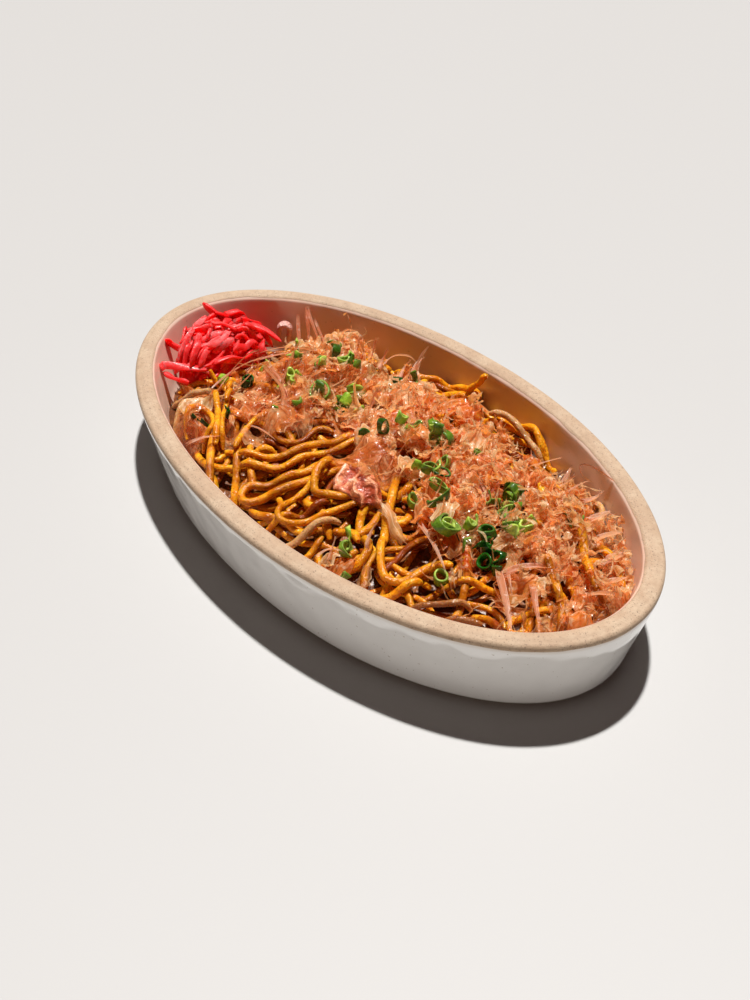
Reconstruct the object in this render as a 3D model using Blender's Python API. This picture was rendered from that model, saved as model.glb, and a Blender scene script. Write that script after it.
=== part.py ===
"""Yakisoba in an oval stoneware dish: dish, noodle heap, toppings.

Metres, +Z up. The origin is on the surface that the dish stands on, under the
middle of the oval. The long axis of the dish is X, and the pickled ginger is at
its -X end.
"""

import math
import random

import bmesh
import bpy

# ---------------------------------------------------------------- dimensions
# The dish: outer sizes at the rim and at the foot.
DISH_LENGTH = 0.2500
DISH_WIDTH = 0.1370
DISH_HEIGHT = 0.0340
FOOT_LENGTH = 0.2305
FOOT_WIDTH = 0.1226
WALL = 0.0076
FLOOR = 0.0065
RIM_OUTER_RADIUS = 0.0024
RIM_INNER_RADIUS = 0.0016
RIM_CROWN = 0.0004
RIM_CROWN_INSET = 0.0042
HEEL_RADIUS = 0.0030
CORNER_RADIUS = 0.0090
DISH_SEGMENTS = 80
ARC_STEPS = 3
CORNER_STEPS = 5

# The food keeps these gaps to what holds it.
WALL_GAP = 0.0005
LAYER_GAP = 0.0014

# The noodle heap: its height along the wall and along its crown.
EDGE_BACK = 0.0200
EDGE_FRONT = 0.0235
EDGE_END = 0.0040
GINGER_END_DROP = 0.0050
EDGE_WAVES = ((5, 0.6, 0.0008), (9, 0.0, 0.0005))
CROWN_RISE = 0.0080
CROWN_FLATNESS = 2.6
FURROW_DEPTH = 0.0013
FURROW_PITCH = 0.0180
NOODLE_SEGMENTS = 72
NOODLE_RINGS = 13
SIDE_LEVELS = (0.0, 0.12, 0.35, 0.65, 1.0)

# The layer of fish flakes over the noodles, and the bay in its front edge.
FLAKE_CENTRE = (0.0150, 0.0010)
FLAKE_LENGTH = 0.1860
FLAKE_WIDTH = 0.0840
FLAKE_THICKNESS = 0.0062
FLAKE_EDGE = 0.0016
FLAKE_RAGGED = 0.11
FLAKE_BUMP = 0.22
FLAKE_SEGMENTS = 60
FLAKE_RINGS = 8
BAY_ANGLE = math.radians(-86)
BAY_SPREAD = math.radians(20)
BAY_DEPTH = 0.84

# The heap of pickled ginger at the -X end.
GINGER_CENTRE = (-0.0985, -0.0095)
GINGER_LENGTH = 0.0310
GINGER_WIDTH = 0.0540
GINGER_HEIGHT = 0.0125
GINGER_EDGE = 0.0014
GINGER_LEAN = 0.85
GINGER_RAGGED = 0.07
GINGER_BUMP = 0.15
GINGER_SEGMENTS = 36
GINGER_RINGS = 6

# A folded slice of pork, and a small curled piece of squid beside the ginger.
PORK_CENTRE = (0.0190, -0.0218)
PORK_LENGTH = 0.0205
PORK_WIDTH = 0.0124
PORK_THICKNESS = 0.0024
PORK_TURN = math.radians(-37)
PORK_WAVE = 0.0130
PORK_LIFT = 0.0012
PORK_RAGGED = 0.09
PORK_SEGMENTS = 28
PORK_RINGS = 5
SQUID_CENTRE = (-0.0957, 0.0252)
SQUID_RADIUS = 0.0021
SQUID_THICKNESS = 0.0023
SQUID_WIDTH = 0.0042
SQUID_LEG = 0.0054
SQUID_TILT = math.radians(7)
SQUID_TURN = math.radians(48)
SQUID_SEGMENTS = 12
SQUID_STEPS = 12

# Base colour, roughness of each material.
CLAY_GLAZE = ((0.80, 0.77, 0.72), 0.22)
NOODLE_YELLOW = ((0.60, 0.29, 0.06), 0.35)
FLAKE_PINK = ((0.66, 0.30, 0.18), 0.50)
GINGER_RED = ((0.75, 0.02, 0.03), 0.30)
PORK_PINK = ((0.62, 0.28, 0.20), 0.35)
SQUID_PINK = ((0.72, 0.40, 0.34), 0.35)


# ---------------------------------------------------------------- helpers
def clear_scene():
    """Remove every object that the scene starts with."""
    for thing in list(bpy.data.objects):
        bpy.data.objects.remove(thing, do_unlink=True)


def make_material(name, finish):
    """A Principled BSDF with the given colour and roughness."""
    colour, roughness = finish
    material = bpy.data.materials.new(name)
    material.use_nodes = True
    shader = material.node_tree.nodes["Principled BSDF"]
    shader.inputs["Base Color"].default_value = (*colour, 1.0)
    shader.inputs["Roughness"].default_value = roughness
    shader.inputs["Metallic"].default_value = 0.0
    return material


def lerp(low, high, part):
    """The value that lies the given part of the way from low to high."""
    return low + (high - low) * part


def smooth_step(low, high, value):
    """0 below low, 1 above high and a smooth rise between."""
    part = min(max((value - low) / (high - low), 0.0), 1.0)
    return part * part * (3.0 - 2.0 * part)


def add_ring(bm, points):
    """One closed ring of edges through the points, from a circle of as many corners."""
    made = bmesh.ops.create_circle(bm, cap_ends=False, segments=len(points), radius=1.0)
    corners = made["verts"]
    for corner, point in zip(corners, points):
        corner.co = point
    ring = set(corners)
    return [edge for edge in bm.edges if edge.verts[0] in ring and edge.verts[1] in ring]


def loft(name, rings, material):
    """A closed body through the rings, with its first and last ring filled."""
    bm = bmesh.new()
    loops = [add_ring(bm, ring) for ring in rings]
    for lower, upper in zip(loops, loops[1:]):
        bmesh.ops.bridge_loops(bm, edges=lower + upper)
    for loop in (loops[0], loops[-1]):
        bmesh.ops.contextual_create(bm, geom=loop)
    bmesh.ops.recalc_face_normals(bm, faces=bm.faces)
    bmesh.ops.triangulate(bm, faces=bm.faces)
    return add_object(name, bm, material)


def add_object(name, bm, material):
    """An object of the bmesh, shaded smooth, with its material."""
    mesh = bpy.data.meshes.new(name)
    bm.to_mesh(mesh)
    bm.free()
    mesh.shade_smooth()
    mesh.set_sharp_from_angle(angle=math.radians(50))
    piece = bpy.data.objects.new(name, mesh)
    bpy.context.scene.collection.objects.link(piece)
    mesh.materials.append(material)
    return piece


def angles(count):
    """Equal angles round a full turn."""
    return [2.0 * math.pi * step / count for step in range(count)]


def oval(half_length, half_width, height, count):
    """The points of a level ellipse."""
    return [(half_length * math.cos(a), half_width * math.sin(a), height) for a in angles(count)]


def arc(centre, radius, start, end, steps):
    """Points of a profile arc: (offset, height) pairs from start to end angle."""
    turns = [lerp(start, end, step / steps) for step in range(steps + 1)]
    return [(centre[0] + radius * math.cos(t), centre[1] + radius * math.sin(t)) for t in turns]


# ---------------------------------------------------------------- the dish
def outer_half_sizes(height):
    """Half length and half width of the dish's tapered outer wall at a height."""
    part = height / DISH_HEIGHT
    half_length = lerp(FOOT_LENGTH, DISH_LENGTH, part) / 2
    half_width = lerp(FOOT_WIDTH, DISH_WIDTH, part) / 2
    return half_length, half_width


def inner_inset(height):
    """How far the dish's inside lies within its outer wall line at a height."""
    rise = FLOOR + CORNER_RADIUS - height
    if rise <= 0.0:
        return WALL
    rise = min(rise, CORNER_RADIUS)
    return WALL + CORNER_RADIUS - math.sqrt(CORNER_RADIUS ** 2 - rise ** 2)


def dish_profile():
    """The wall's section as (inset, height) pairs, from the foot over the rim to the floor."""
    right = math.radians(90)
    heel = arc((HEEL_RADIUS, HEEL_RADIUS), HEEL_RADIUS, 3 * right, 2 * right, ARC_STEPS)
    edge_height = DISH_HEIGHT - RIM_CROWN
    shoulder = (RIM_OUTER_RADIUS, edge_height - RIM_OUTER_RADIUS)
    lip = (WALL - RIM_INNER_RADIUS, edge_height - RIM_INNER_RADIUS)
    corner = (WALL + CORNER_RADIUS, FLOOR + CORNER_RADIUS)
    section = heel
    section += [(0.0, DISH_HEIGHT * 0.5)]
    section += arc(shoulder, RIM_OUTER_RADIUS, 2 * right, right, ARC_STEPS)
    section += [(RIM_CROWN_INSET, DISH_HEIGHT)]
    section += arc(lip, RIM_INNER_RADIUS, right, 0.0, ARC_STEPS)
    section += arc(corner, CORNER_RADIUS, 2 * right, 3 * right, CORNER_STEPS)
    return section


def make_dish():
    """The oval dish: tapered wall, thick rounded rim, flat foot and floor."""
    rings = []
    for inset, height in dish_profile():
        half_length, half_width = outer_half_sizes(height)
        rings.append(oval(half_length - inset, half_width - inset, height, DISH_SEGMENTS))
    return loft("dish", rings, make_material("glazed_stoneware", CLAY_GLAZE))


# ---------------------------------------------------------------- the noodles
def wave_set(seed, count, pitch):
    """Seeded plane waves as (x rate, y rate, phase), to vary a surface evenly."""
    rng = random.Random(seed)
    waves = []
    for _ in range(count):
        heading = rng.uniform(0.0, math.pi)
        rate = 2.0 * math.pi / (pitch * rng.uniform(0.8, 1.3))
        phase = rng.uniform(0.0, 2.0 * math.pi)
        waves.append((rate * math.cos(heading), rate * math.sin(heading), phase))
    return waves


def ripple(waves, x, y):
    """The mean of the waves at a place, from -1 to 1."""
    return sum(math.sin(rx * x + ry * y + phase) for rx, ry, phase in waves) / len(waves)


FURROWS = wave_set(seed=7, count=4, pitch=FURROW_PITCH)


def heap_edge(angle):
    """Height of the noodles where they meet the wall, by the angle round the oval."""
    front = (1.0 - math.sin(angle)) / 2
    height = lerp(EDGE_BACK, EDGE_FRONT, smooth_step(0.0, 1.0, front))
    height += EDGE_END * smooth_step(0.55, 1.0, math.cos(angle))
    height -= GINGER_END_DROP * smooth_step(0.60, 0.95, -math.cos(angle))
    return height + sum(size * math.sin(n * angle + p) for n, p, size in EDGE_WAVES)


def noodle_top(x, y):
    """Height of the top of the noodle heap at a place."""
    half_length, half_width = outer_half_sizes(EDGE_BACK)
    u = x / (half_length - WALL)
    v = y / (half_width - WALL)
    reach = min(math.hypot(u, v), 1.0)
    edge = heap_edge(math.atan2(v, u))
    ginger_end = smooth_step(-0.45, -0.80, u)
    rise = CROWN_RISE * (1.0 - 0.75 * ginger_end)
    mean_edge = lerp(EDGE_BACK, EDGE_FRONT, 0.5) - GINGER_END_DROP * ginger_end
    blend = reach ** CROWN_FLATNESS
    fade = 1.0 - reach ** 6
    crown = mean_edge + rise
    return lerp(crown, edge, blend) + FURROW_DEPTH * fade * ripple(FURROWS, x, y)


def side_ring(level, count):
    """A ring up the side of the heap: level 0 at the floor, 1 at the edge of the top."""
    points = []
    for angle in angles(count):
        height = lerp(FLOOR + WALL_GAP, heap_edge(angle), level)
        half_length, half_width = outer_half_sizes(height)
        inset = inner_inset(height) + WALL_GAP
        x = (half_length - inset) * math.cos(angle)
        y = (half_width - inset) * math.sin(angle)
        points.append((x, y, height))
    return points


def make_noodles():
    """The noodle heap, out to its uneven top, filling the dish to the wall."""
    sides = [side_ring(level, NOODLE_SEGMENTS) for level in SIDE_LEVELS]
    rim = sides[-1]
    tops = []
    for step in range(1, NOODLE_RINGS):
        part = 1.0 - step / NOODLE_RINGS
        ring = [(x * part, y * part) for x, y, _ in rim]
        tops.append([(x, y, noodle_top(x, y)) for x, y in ring])
    return loft("noodles", sides + tops, make_material("fried_noodles", NOODLE_YELLOW))


# ---------------------------------------------------------------- what lies on top
def ragged(angle, lobes, depth):
    """A factor near 1 that makes an outline uneven."""
    wobble = sum(math.sin(n * angle + p) for n, p in lobes) / len(lobes)
    return 1.0 + depth * wobble


def within_wall(x, y):
    """The place itself, or where it meets the dish's inside if it lies beyond."""
    half_length, half_width = outer_half_sizes(EDGE_BACK - GINGER_END_DROP)
    inset = WALL + WALL_GAP
    reach = math.hypot(x / (half_length - inset), y / (half_width - inset))
    return (x, y) if reach <= 1.0 else (x / reach, y / reach)


def topping(name, centre, half_sizes, outline, under, over, counts, material):
    """A heap on the noodles: its rings run out along the underside, then back in on top."""
    segments, rings = counts

    def place(angle, part):
        reach = part * outline(angle)
        x = centre[0] + half_sizes[0] * reach * math.cos(angle)
        y = centre[1] + half_sizes[1] * reach * math.sin(angle)
        return within_wall(x, y)

    lower = []
    upper = []
    for step in range(1, rings + 1):
        part = step / rings
        spots = [place(angle, part) for angle in angles(segments)]
        lower.append([(x, y, under(x, y)) for x, y in spots])
        upper.append([(x, y, over(x, y, part)) for x, y in spots])
    return loft(name, lower + upper[::-1], material)


def on_noodles(x, y):
    """The underside of a topping, just clear of the noodles."""
    return noodle_top(x, y) + LAYER_GAP


FLAKE_BUMPS = wave_set(seed=11, count=5, pitch=0.016)
FLAKE_LOBES = ((3, 0.4), (5, 2.0), (8, 1.1), (13, 0.2))
GINGER_BUMPS = wave_set(seed=23, count=4, pitch=0.009)
GINGER_LOBES = ((3, 2.2), (7, 0.5), (11, 1.0))
PORK_LOBES = ((2, 0.5), (3, 1.4), (5, 0.3))


def flake_outline(angle):
    """Reach of the flakes, with the bay in front where the pork and some noodles show."""
    turn = math.remainder(angle - BAY_ANGLE, 2.0 * math.pi)
    bay = BAY_DEPTH * math.exp(-(turn / BAY_SPREAD) ** 4)
    return ragged(angle, FLAKE_LOBES, FLAKE_RAGGED) * (1.0 - bay)


def flake_top(x, y, part):
    """Top of the flake layer: thick in the middle, thin and ragged at its outline."""
    body = lerp(FLAKE_THICKNESS, FLAKE_EDGE, part ** 3)
    return on_noodles(x, y) + body * (1.0 + FLAKE_BUMP * ripple(FLAKE_BUMPS, x, y))


def make_bonito_flakes():
    """The drift of shaved fish that covers most of the noodles."""
    return topping(
        "bonito_flakes",
        FLAKE_CENTRE,
        (FLAKE_LENGTH / 2, FLAKE_WIDTH / 2),
        flake_outline,
        on_noodles,
        flake_top,
        (FLAKE_SEGMENTS, FLAKE_RINGS),
        make_material("shaved_fish", FLAKE_PINK),
    )


def ginger_top(x, y, part):
    """Top of the ginger heap: ridges of strips, which lean up against the end wall."""
    outward = (GINGER_CENTRE[0] - x) / (GINGER_LENGTH / 2)
    fall = part ** 2.4 * (1.0 - GINGER_LEAN * smooth_step(0.0, 0.8, outward))
    body = GINGER_EDGE + GINGER_HEIGHT * (1.0 - fall)
    return on_noodles(x, y) + body * (1.0 + GINGER_BUMP * ripple(GINGER_BUMPS, x, y))


def make_pickled_ginger():
    """The heap of ginger strips against the -X end of the dish."""
    return topping(
        "pickled_ginger",
        GINGER_CENTRE,
        (GINGER_LENGTH / 2, GINGER_WIDTH / 2),
        lambda angle: ragged(angle, GINGER_LOBES, GINGER_RAGGED),
        on_noodles,
        ginger_top,
        (GINGER_SEGMENTS, GINGER_RINGS),
        make_material("red_ginger", GINGER_RED),
    )


def make_pork_slice():
    """A thin slice of pork that lies waved on the noodles."""
    cosine = math.cos(PORK_TURN)
    sine = math.sin(PORK_TURN)

    def outline(angle):
        return ragged(angle, PORK_LOBES, PORK_RAGGED)

    def lift(x, y):
        along = (x - PORK_CENTRE[0]) * cosine + (y - PORK_CENTRE[1]) * sine
        return PORK_LIFT * (1.0 + math.sin(2.0 * math.pi * along / PORK_WAVE))

    def under(x, y):
        return on_noodles(x, y) + lift(x, y)

    def over(x, y, part):
        return under(x, y) + PORK_THICKNESS * (1.0 - 0.45 * part ** 4)

    return topping(
        "pork_slice",
        PORK_CENTRE,
        (PORK_LENGTH / 2, PORK_WIDTH / 2),
        outline,
        under,
        over,
        (PORK_SEGMENTS, PORK_RINGS),
        make_material("cooked_pork", PORK_PINK),
    )


def make_squid_curl():
    """A short curled strip of squid that stands on its two ends like an arch."""
    bm = bmesh.new()
    half_width = SQUID_WIDTH / 2
    half_thickness = SQUID_THICKNESS / 2
    made = bmesh.ops.create_circle(bm, cap_ends=True, segments=SQUID_SEGMENTS, radius=1.0)
    for corner in made["verts"]:
        along, across = corner.co.x, corner.co.y
        corner.co = (SQUID_RADIUS + half_thickness * along, half_width * across, 0.0)
    start_cap = bm.faces[:][0]
    section = list(bm.verts) + list(bm.edges) + [start_cap]
    arch = bmesh.ops.spin(
        bm,
        geom=section,
        cent=(0.0, 0.0, 0.0),
        axis=(0.0, -1.0, 0.0),
        angle=math.pi,
        steps=SQUID_STEPS,
        use_merge=False,
        use_duplicate=False,
    )
    end_caps = [item for item in arch["geom_last"] if isinstance(item, bmesh.types.BMFace)]
    legs = bmesh.ops.extrude_discrete_faces(bm, faces=[start_cap] + end_caps)
    feet = {corner for face in legs["faces"] for corner in face.verts}
    bmesh.ops.translate(bm, verts=list(feet), vec=(0.0, 0.0, -SQUID_LEG))
    bmesh.ops.recalc_face_normals(bm, faces=bm.faces)
    piece = add_object("squid_curl", bm, make_material("cooked_squid", SQUID_PINK))
    base = noodle_top(*SQUID_CENTRE) + SQUID_LEG + LAYER_GAP
    piece.location = (*SQUID_CENTRE, base)
    piece.rotation_euler = (0.0, SQUID_TILT, SQUID_TURN)
    return piece


def main():
    """Build every piece of the dish of yakisoba."""
    clear_scene()
    make_dish()
    make_noodles()
    make_bonito_flakes()
    make_pickled_ginger()
    make_pork_slice()
    make_squid_curl()


main()
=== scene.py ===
"""Looks of a dish of yakisoba: fried noodles, shaved fish, onion rings and ginger.

Metres, +Z up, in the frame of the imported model. The long axis of the dish is X,
and the pickled ginger is at its -X end. Places on the food are given as shares of
the half length and half width of the dish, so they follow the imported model.
"""

import copy
import logging
import math
import random
from collections.abc import Iterable, Sequence
from dataclasses import dataclass, field
from enum import Enum

import bmesh
import bpy
import numpy as np
from mathutils import Euler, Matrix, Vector
from mathutils.bvhtree import BVHTree


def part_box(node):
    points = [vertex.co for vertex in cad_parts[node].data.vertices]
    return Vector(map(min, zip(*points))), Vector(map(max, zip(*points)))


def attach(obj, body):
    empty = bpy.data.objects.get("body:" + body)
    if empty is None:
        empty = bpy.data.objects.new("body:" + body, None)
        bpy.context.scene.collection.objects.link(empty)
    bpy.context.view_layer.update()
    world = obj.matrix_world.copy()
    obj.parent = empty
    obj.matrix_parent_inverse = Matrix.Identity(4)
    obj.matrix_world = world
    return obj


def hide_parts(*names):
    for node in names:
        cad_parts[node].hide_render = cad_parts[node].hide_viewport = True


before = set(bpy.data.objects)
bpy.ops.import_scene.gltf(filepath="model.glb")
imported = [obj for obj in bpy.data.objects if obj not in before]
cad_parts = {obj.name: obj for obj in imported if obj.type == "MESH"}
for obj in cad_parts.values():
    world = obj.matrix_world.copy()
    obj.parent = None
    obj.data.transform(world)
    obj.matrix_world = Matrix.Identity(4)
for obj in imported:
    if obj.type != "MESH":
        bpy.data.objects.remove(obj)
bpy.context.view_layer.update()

LOG = logging.getLogger("yakisoba")
HEADROOM = 0.009  # how far a flake may stand over the CAD flakes, in metres
PHASES = 6.28  # where random phases and turns end, about one full turn
Place = tuple[float, float]
Cells = tuple[np.ndarray, np.ndarray]
Colour = tuple[float, float, float]


# ---- numbers and shapes
def smooth_step(low: float, high: float, value: float) -> float:
    """0 below low, 1 above high and a smooth rise between."""
    part = min(max((value - low) / (high - low), 0.0), 1.0)
    return part * part * (3.0 - 2.0 * part)


def soften(line: np.ndarray, passes: int) -> np.ndarray:
    """Smooth a row of numbers or points, with its two ends held.

    Args:
        line: values along a strand, one row for each point.
        passes: how many times each value moves towards its neighbours.

    Returns:
        The smoothed values.
    """
    out = line.copy()
    for _ in range(passes):
        out[1:-1] = 0.25 * out[:-2] + 0.5 * out[1:-1] + 0.25 * out[2:]
    return out


def resample(points: np.ndarray, step: float) -> np.ndarray:
    """Points at an even spacing along a smooth curve through the given ones.

    Args:
        points: the places that the curve passes, one row each.
        step: the spacing wanted, in metres.

    Returns:
        The evenly spaced points.
    """
    padded = np.vstack([2 * points[0] - points[1], points, 2 * points[-1] - points[-2]])
    fine = []
    for before, start, end, after in zip(padded, padded[1:], padded[2:], padded[3:]):
        for part in np.linspace(0.0, 1.0, 12, endpoint=False):
            curve = 2 * start + (end - before) * part
            curve = curve + (2 * before - 5 * start + 4 * end - after) * part ** 2
            fine.append(0.5 * (curve + (3 * start - before - 3 * end + after) * part ** 3))
    fine.append(points[-1])
    line = np.array(fine)
    run = np.concatenate([[0.0], np.cumsum(np.linalg.norm(np.diff(line, axis=0), axis=1))])
    count = max(int(round(run[-1] / step)), 2)
    marks = np.linspace(0.0, run[-1], count + 1)
    return np.stack([np.interp(marks, run, line[:, k]) for k in range(line.shape[1])], axis=1)


# ---- the inside of the dish
@dataclass(frozen=True)
class Hollow:
    """The tapered oval that holds the food, with places on it as shares of its half sizes."""

    half_length: float = 0.1242
    half_width: float = 0.0679
    rim_half_length: float = 0.1174
    rim_half_width: float = 0.0609
    slope: float = 0.2868
    side_slope: float = 0.74
    height: float = 0.0340
    flat_level: float = 0.6

    def at(self, place: Place) -> np.ndarray:
        """The place, given as shares of the dish's half sizes, in metres."""
        return np.array([place[0] * self.half_length, place[1] * self.half_width])

    def metres(self, points: Sequence[Sequence[float]]) -> np.ndarray:
        """Points of two shares and, unless it is 0, a height in millimetres, in metres."""
        full = np.array([(*point, 0.0)[:3] for point in points])
        return full * (self.half_length, self.half_width, 0.001)

    def half_sizes(self, height: float | np.ndarray) -> tuple:
        """Half length and half width of the inside at a height."""
        drop = (self.height - height) * self.slope
        return self.rim_half_length - drop, self.rim_half_width - self.side_slope * drop

    def held(self, points: np.ndarray, gap: float) -> np.ndarray:
        """Points moved to the inner wall where they lie closer to it than the gap.

        Args:
            points: rows of x, y and, where known, z.
            gap: how far inside the wall the points have to stay.

        Returns:
            The points, none of them beyond the wall.
        """
        height = points[:, 2] if points.shape[1] > 2 else self.flat_level * self.height
        along, across = self.half_sizes(height)
        reach = np.hypot(points[:, 0] / (along - gap), points[:, 1] / (across - gap))
        out = points.copy()
        out[:, :2] /= np.maximum(reach, 1.0)[:, None]
        return out


class Terrain:
    """Heights on a level grid over the dish: what each new strand or flake comes to rest on."""

    CELL = 0.0005
    CAST_EVERY = 4

    def __init__(self, low: Vector, high: Vector, ground: float) -> None:
        """A level ground between two corners.

        Args:
            low: the corner with the least x and y.
            high: the corner with the most.
            ground: the height that it starts at.
        """
        self.low = np.array([low.x, low.y])
        self.counts = np.ceil((np.array([high.x, high.y]) - self.low) / self.CELL).astype(int) + 1
        self.z = np.full(tuple(self.counts), ground)

    def inside(self, columns: np.ndarray, rows: np.ndarray) -> Cells:
        """The cells, held inside the grid."""
        return np.clip(columns, 0, self.counts[0] - 1), np.clip(rows, 0, self.counts[1] - 1)

    def cells(self, places: np.ndarray) -> Cells:
        """The columns and rows of the cells that some places fall in."""
        found = np.rint((places[:, :2] - self.low) / self.CELL).astype(int)
        return self.inside(found[:, 0], found[:, 1])

    def under(self, places: np.ndarray, radius: float) -> tuple[Cells, np.ndarray]:
        """The cells under a ball at each place.

        Args:
            places: the middles of the ball, one row each.
            radius: the ball's radius.

        Returns:
            The cells, one row for each place, and half the ball's thickness over them.
        """
        reach = int(radius / self.CELL)
        side = np.arange(-reach, reach + 1)
        across, along = np.meshgrid(side, side)
        square = (across ** 2 + along ** 2) * self.CELL ** 2
        covered = square < radius ** 2
        column, row = self.cells(places)
        cells = self.inside(column[:, None] + across[covered], row[:, None] + along[covered])
        return cells, np.sqrt(radius ** 2 - square[covered])

    def rest(self, places: np.ndarray, radius: float) -> np.ndarray:
        """Height of the middle of a ball that rests on the terrain at each place."""
        cells, half = self.under(places, radius)
        return (self.z[cells] + half).max(axis=1)

    def stamp(self, points: np.ndarray, radius: float) -> None:
        """Raise the terrain to the top of a strand through the points."""
        cells, half = self.under(points, radius)
        np.maximum.at(self.z, cells, points[:, 2][:, None] + half)

    def height(self, places: np.ndarray) -> np.ndarray:
        """Height of the terrain at each place."""
        return self.z[self.cells(places)]

    def raise_towards(self, points: np.ndarray, share: float) -> None:
        """Raise the terrain part of the way to some loose points, and round them.

        Args:
            points: rows of x, y and z.
            share: how much of the way to go at a time, from 0 to 1.
        """
        column, row = self.cells(points)
        for across in (-1, 0, 1):
            for along in (-1, 0, 1):
                cells = self.inside(column + across, row + along)
                now = self.z[cells]
                self.z[cells] = np.maximum(now, now + share * (points[:, 2] - now))

    def smoothed(self, passes: int) -> "Terrain":
        """A copy with its heights averaged over their neighbours.

        Args:
            passes: how many times; 0 gives a plain copy.

        Returns:
            The copy.
        """
        out = copy.deepcopy(self)
        for _ in range(passes):
            for axis in (0, 1):
                out.z = (np.roll(out.z, 2, axis) + out.z + np.roll(out.z, -2, axis)) / 3.0
        return out

    def cast(self, tree: BVHTree, start: float) -> None:
        """Set the height to the top of the given shape, where a vertical line meets it.

        Args:
            tree: the shape.
            start: a height above all of it.
        """
        down = Vector((0.0, 0.0, -1.0))
        every = self.CAST_EVERY
        for column in range(0, self.counts[0], every):
            for row in range(0, self.counts[1], every):
                x = self.low[0] + column * self.CELL
                y = self.low[1] + row * self.CELL
                hit = tree.ray_cast(Vector((x, y, start)), down)[0]
                if hit is not None:
                    block = (slice(column, column + every), slice(row, row + every))
                    self.z[block] = hit.z


# ---- shader helpers
def rgba(colour: Colour) -> tuple[float, float, float, float]:
    """The colour with full alpha."""
    return (*colour, 1.0)


class Tree:
    """Short calls to place shader nodes, set their values and join them."""

    def __init__(self, tree: bpy.types.NodeTree) -> None:
        """Work in the given node tree."""
        self.tree = tree

    def add(self, kind: str, **settings: object) -> bpy.types.Node:
        """A new node.

        Args:
            kind: the node's Blender type.
            settings: its properties by name.

        Returns:
            The node.
        """
        node = self.tree.nodes.new(kind)
        for name, value in settings.items():
            setattr(node, name, value)
        return node

    def feed(self, node: bpy.types.Node, **values: object) -> bpy.types.Node:
        """Set or link a node's inputs; a name's underscores stand for spaces.

        Args:
            node: the node whose inputs are fed.
            values: input name to a socket, which is linked, or to a plain value or colour.

        Returns:
            The same node.
        """
        for name, value in values.items():
            key = name.replace("_", " ")
            socket = node.inputs[int(key[5:])] if key.startswith("input") else node.inputs[key]
            if isinstance(value, bpy.types.NodeSocket):
                self.tree.links.new(value, socket)
            elif socket.type == "RGBA":
                socket.default_value = rgba(value)
            else:
                socket.default_value = value
        return node

    def noise(self, vector: object, scale: object, detail: float = 2.0, **shift: object) -> object:
        """The value of a noise pattern, which W, where it is given, shifts to another part."""
        node = self.add("ShaderNodeTexNoise", noise_dimensions="4D" if shift else "3D")
        return self.feed(node, Vector=vector, Scale=scale, Detail=detail, **shift).outputs["Fac"]

    def ramp(self, value: object, low: float, high: float) -> object:
        """A smooth rise from 0, where the value is low, to 1, where it is high."""
        node = self.add("ShaderNodeMapRange", interpolation_type="SMOOTHSTEP")
        return self.feed(node, Value=value, From_Min=low, From_Max=high).outputs["Result"]

    def spread(self, value: object, low: float, high: float) -> object:
        """The 0 to 1 value, spread over another span."""
        node = self.add("ShaderNodeMapRange")
        return self.feed(node, Value=value, To_Min=low, To_Max=high).outputs["Result"]

    def mix(self, factor: object, first: object, second: object) -> object:
        """A colour between two others, each a socket or a plain colour."""
        node = self.add("ShaderNodeMix", data_type="RGBA")
        return self.feed(node, input0=factor, input6=first, input7=second).outputs[2]

    def maths(self, operation: str, first: object, second: object = 0.0) -> object:
        """The result of one sum on two values."""
        node = self.add("ShaderNodeMath", operation=operation)
        return self.feed(node, input0=first, input1=second).outputs[0]

    def bump(self, height: object, distance: float, strength: float = 1.0) -> object:
        """A normal that follows a relief, whose height is the distance where it is 1."""
        node = self.add("ShaderNodeBump")
        return self.feed(node, Height=height, Distance=distance, Strength=strength).outputs["Normal"]

    def attribute(self, name: str) -> object:
        """The value of a piece's own attribute."""
        return self.add("ShaderNodeAttribute", attribute_name=name).outputs["Fac"]

    def object_place(self) -> object:
        """The place on the piece, in metres."""
        return self.add("ShaderNodeTexCoord").outputs["Object"]


def make_mottle() -> bpy.types.NodeTree:
    """A shared effect: broad and fine patches that differ from piece to piece.

    Returns:
        The node group, with Vector, Scale and Shift in, and Broad and Fine out.
    """
    group = bpy.data.node_groups.new("mottle", "ShaderNodeTree")
    sides = group.interface
    sides.new_socket("Vector", in_out="INPUT", socket_type="NodeSocketVector")
    for name in ("Scale", "Shift"):
        sides.new_socket(name, in_out="INPUT", socket_type="NodeSocketFloat")
    for name in ("Broad", "Fine"):
        sides.new_socket(name, in_out="OUTPUT", socket_type="NodeSocketFloat")
    tree = Tree(group)
    given = tree.add("NodeGroupInput").outputs
    result = tree.add("NodeGroupOutput")
    for name, finer, detail in (("Broad", 1.0, 2.0), ("Fine", 4.5, 3.0)):
        scale = tree.maths("MULTIPLY", given["Scale"], finer)
        noise = tree.noise(given["Vector"], scale, detail, W=given["Shift"])
        tree.feed(result, **{name: tree.ramp(noise, 0.36, 0.64)})
    return group


MOTTLE = make_mottle()


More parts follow.
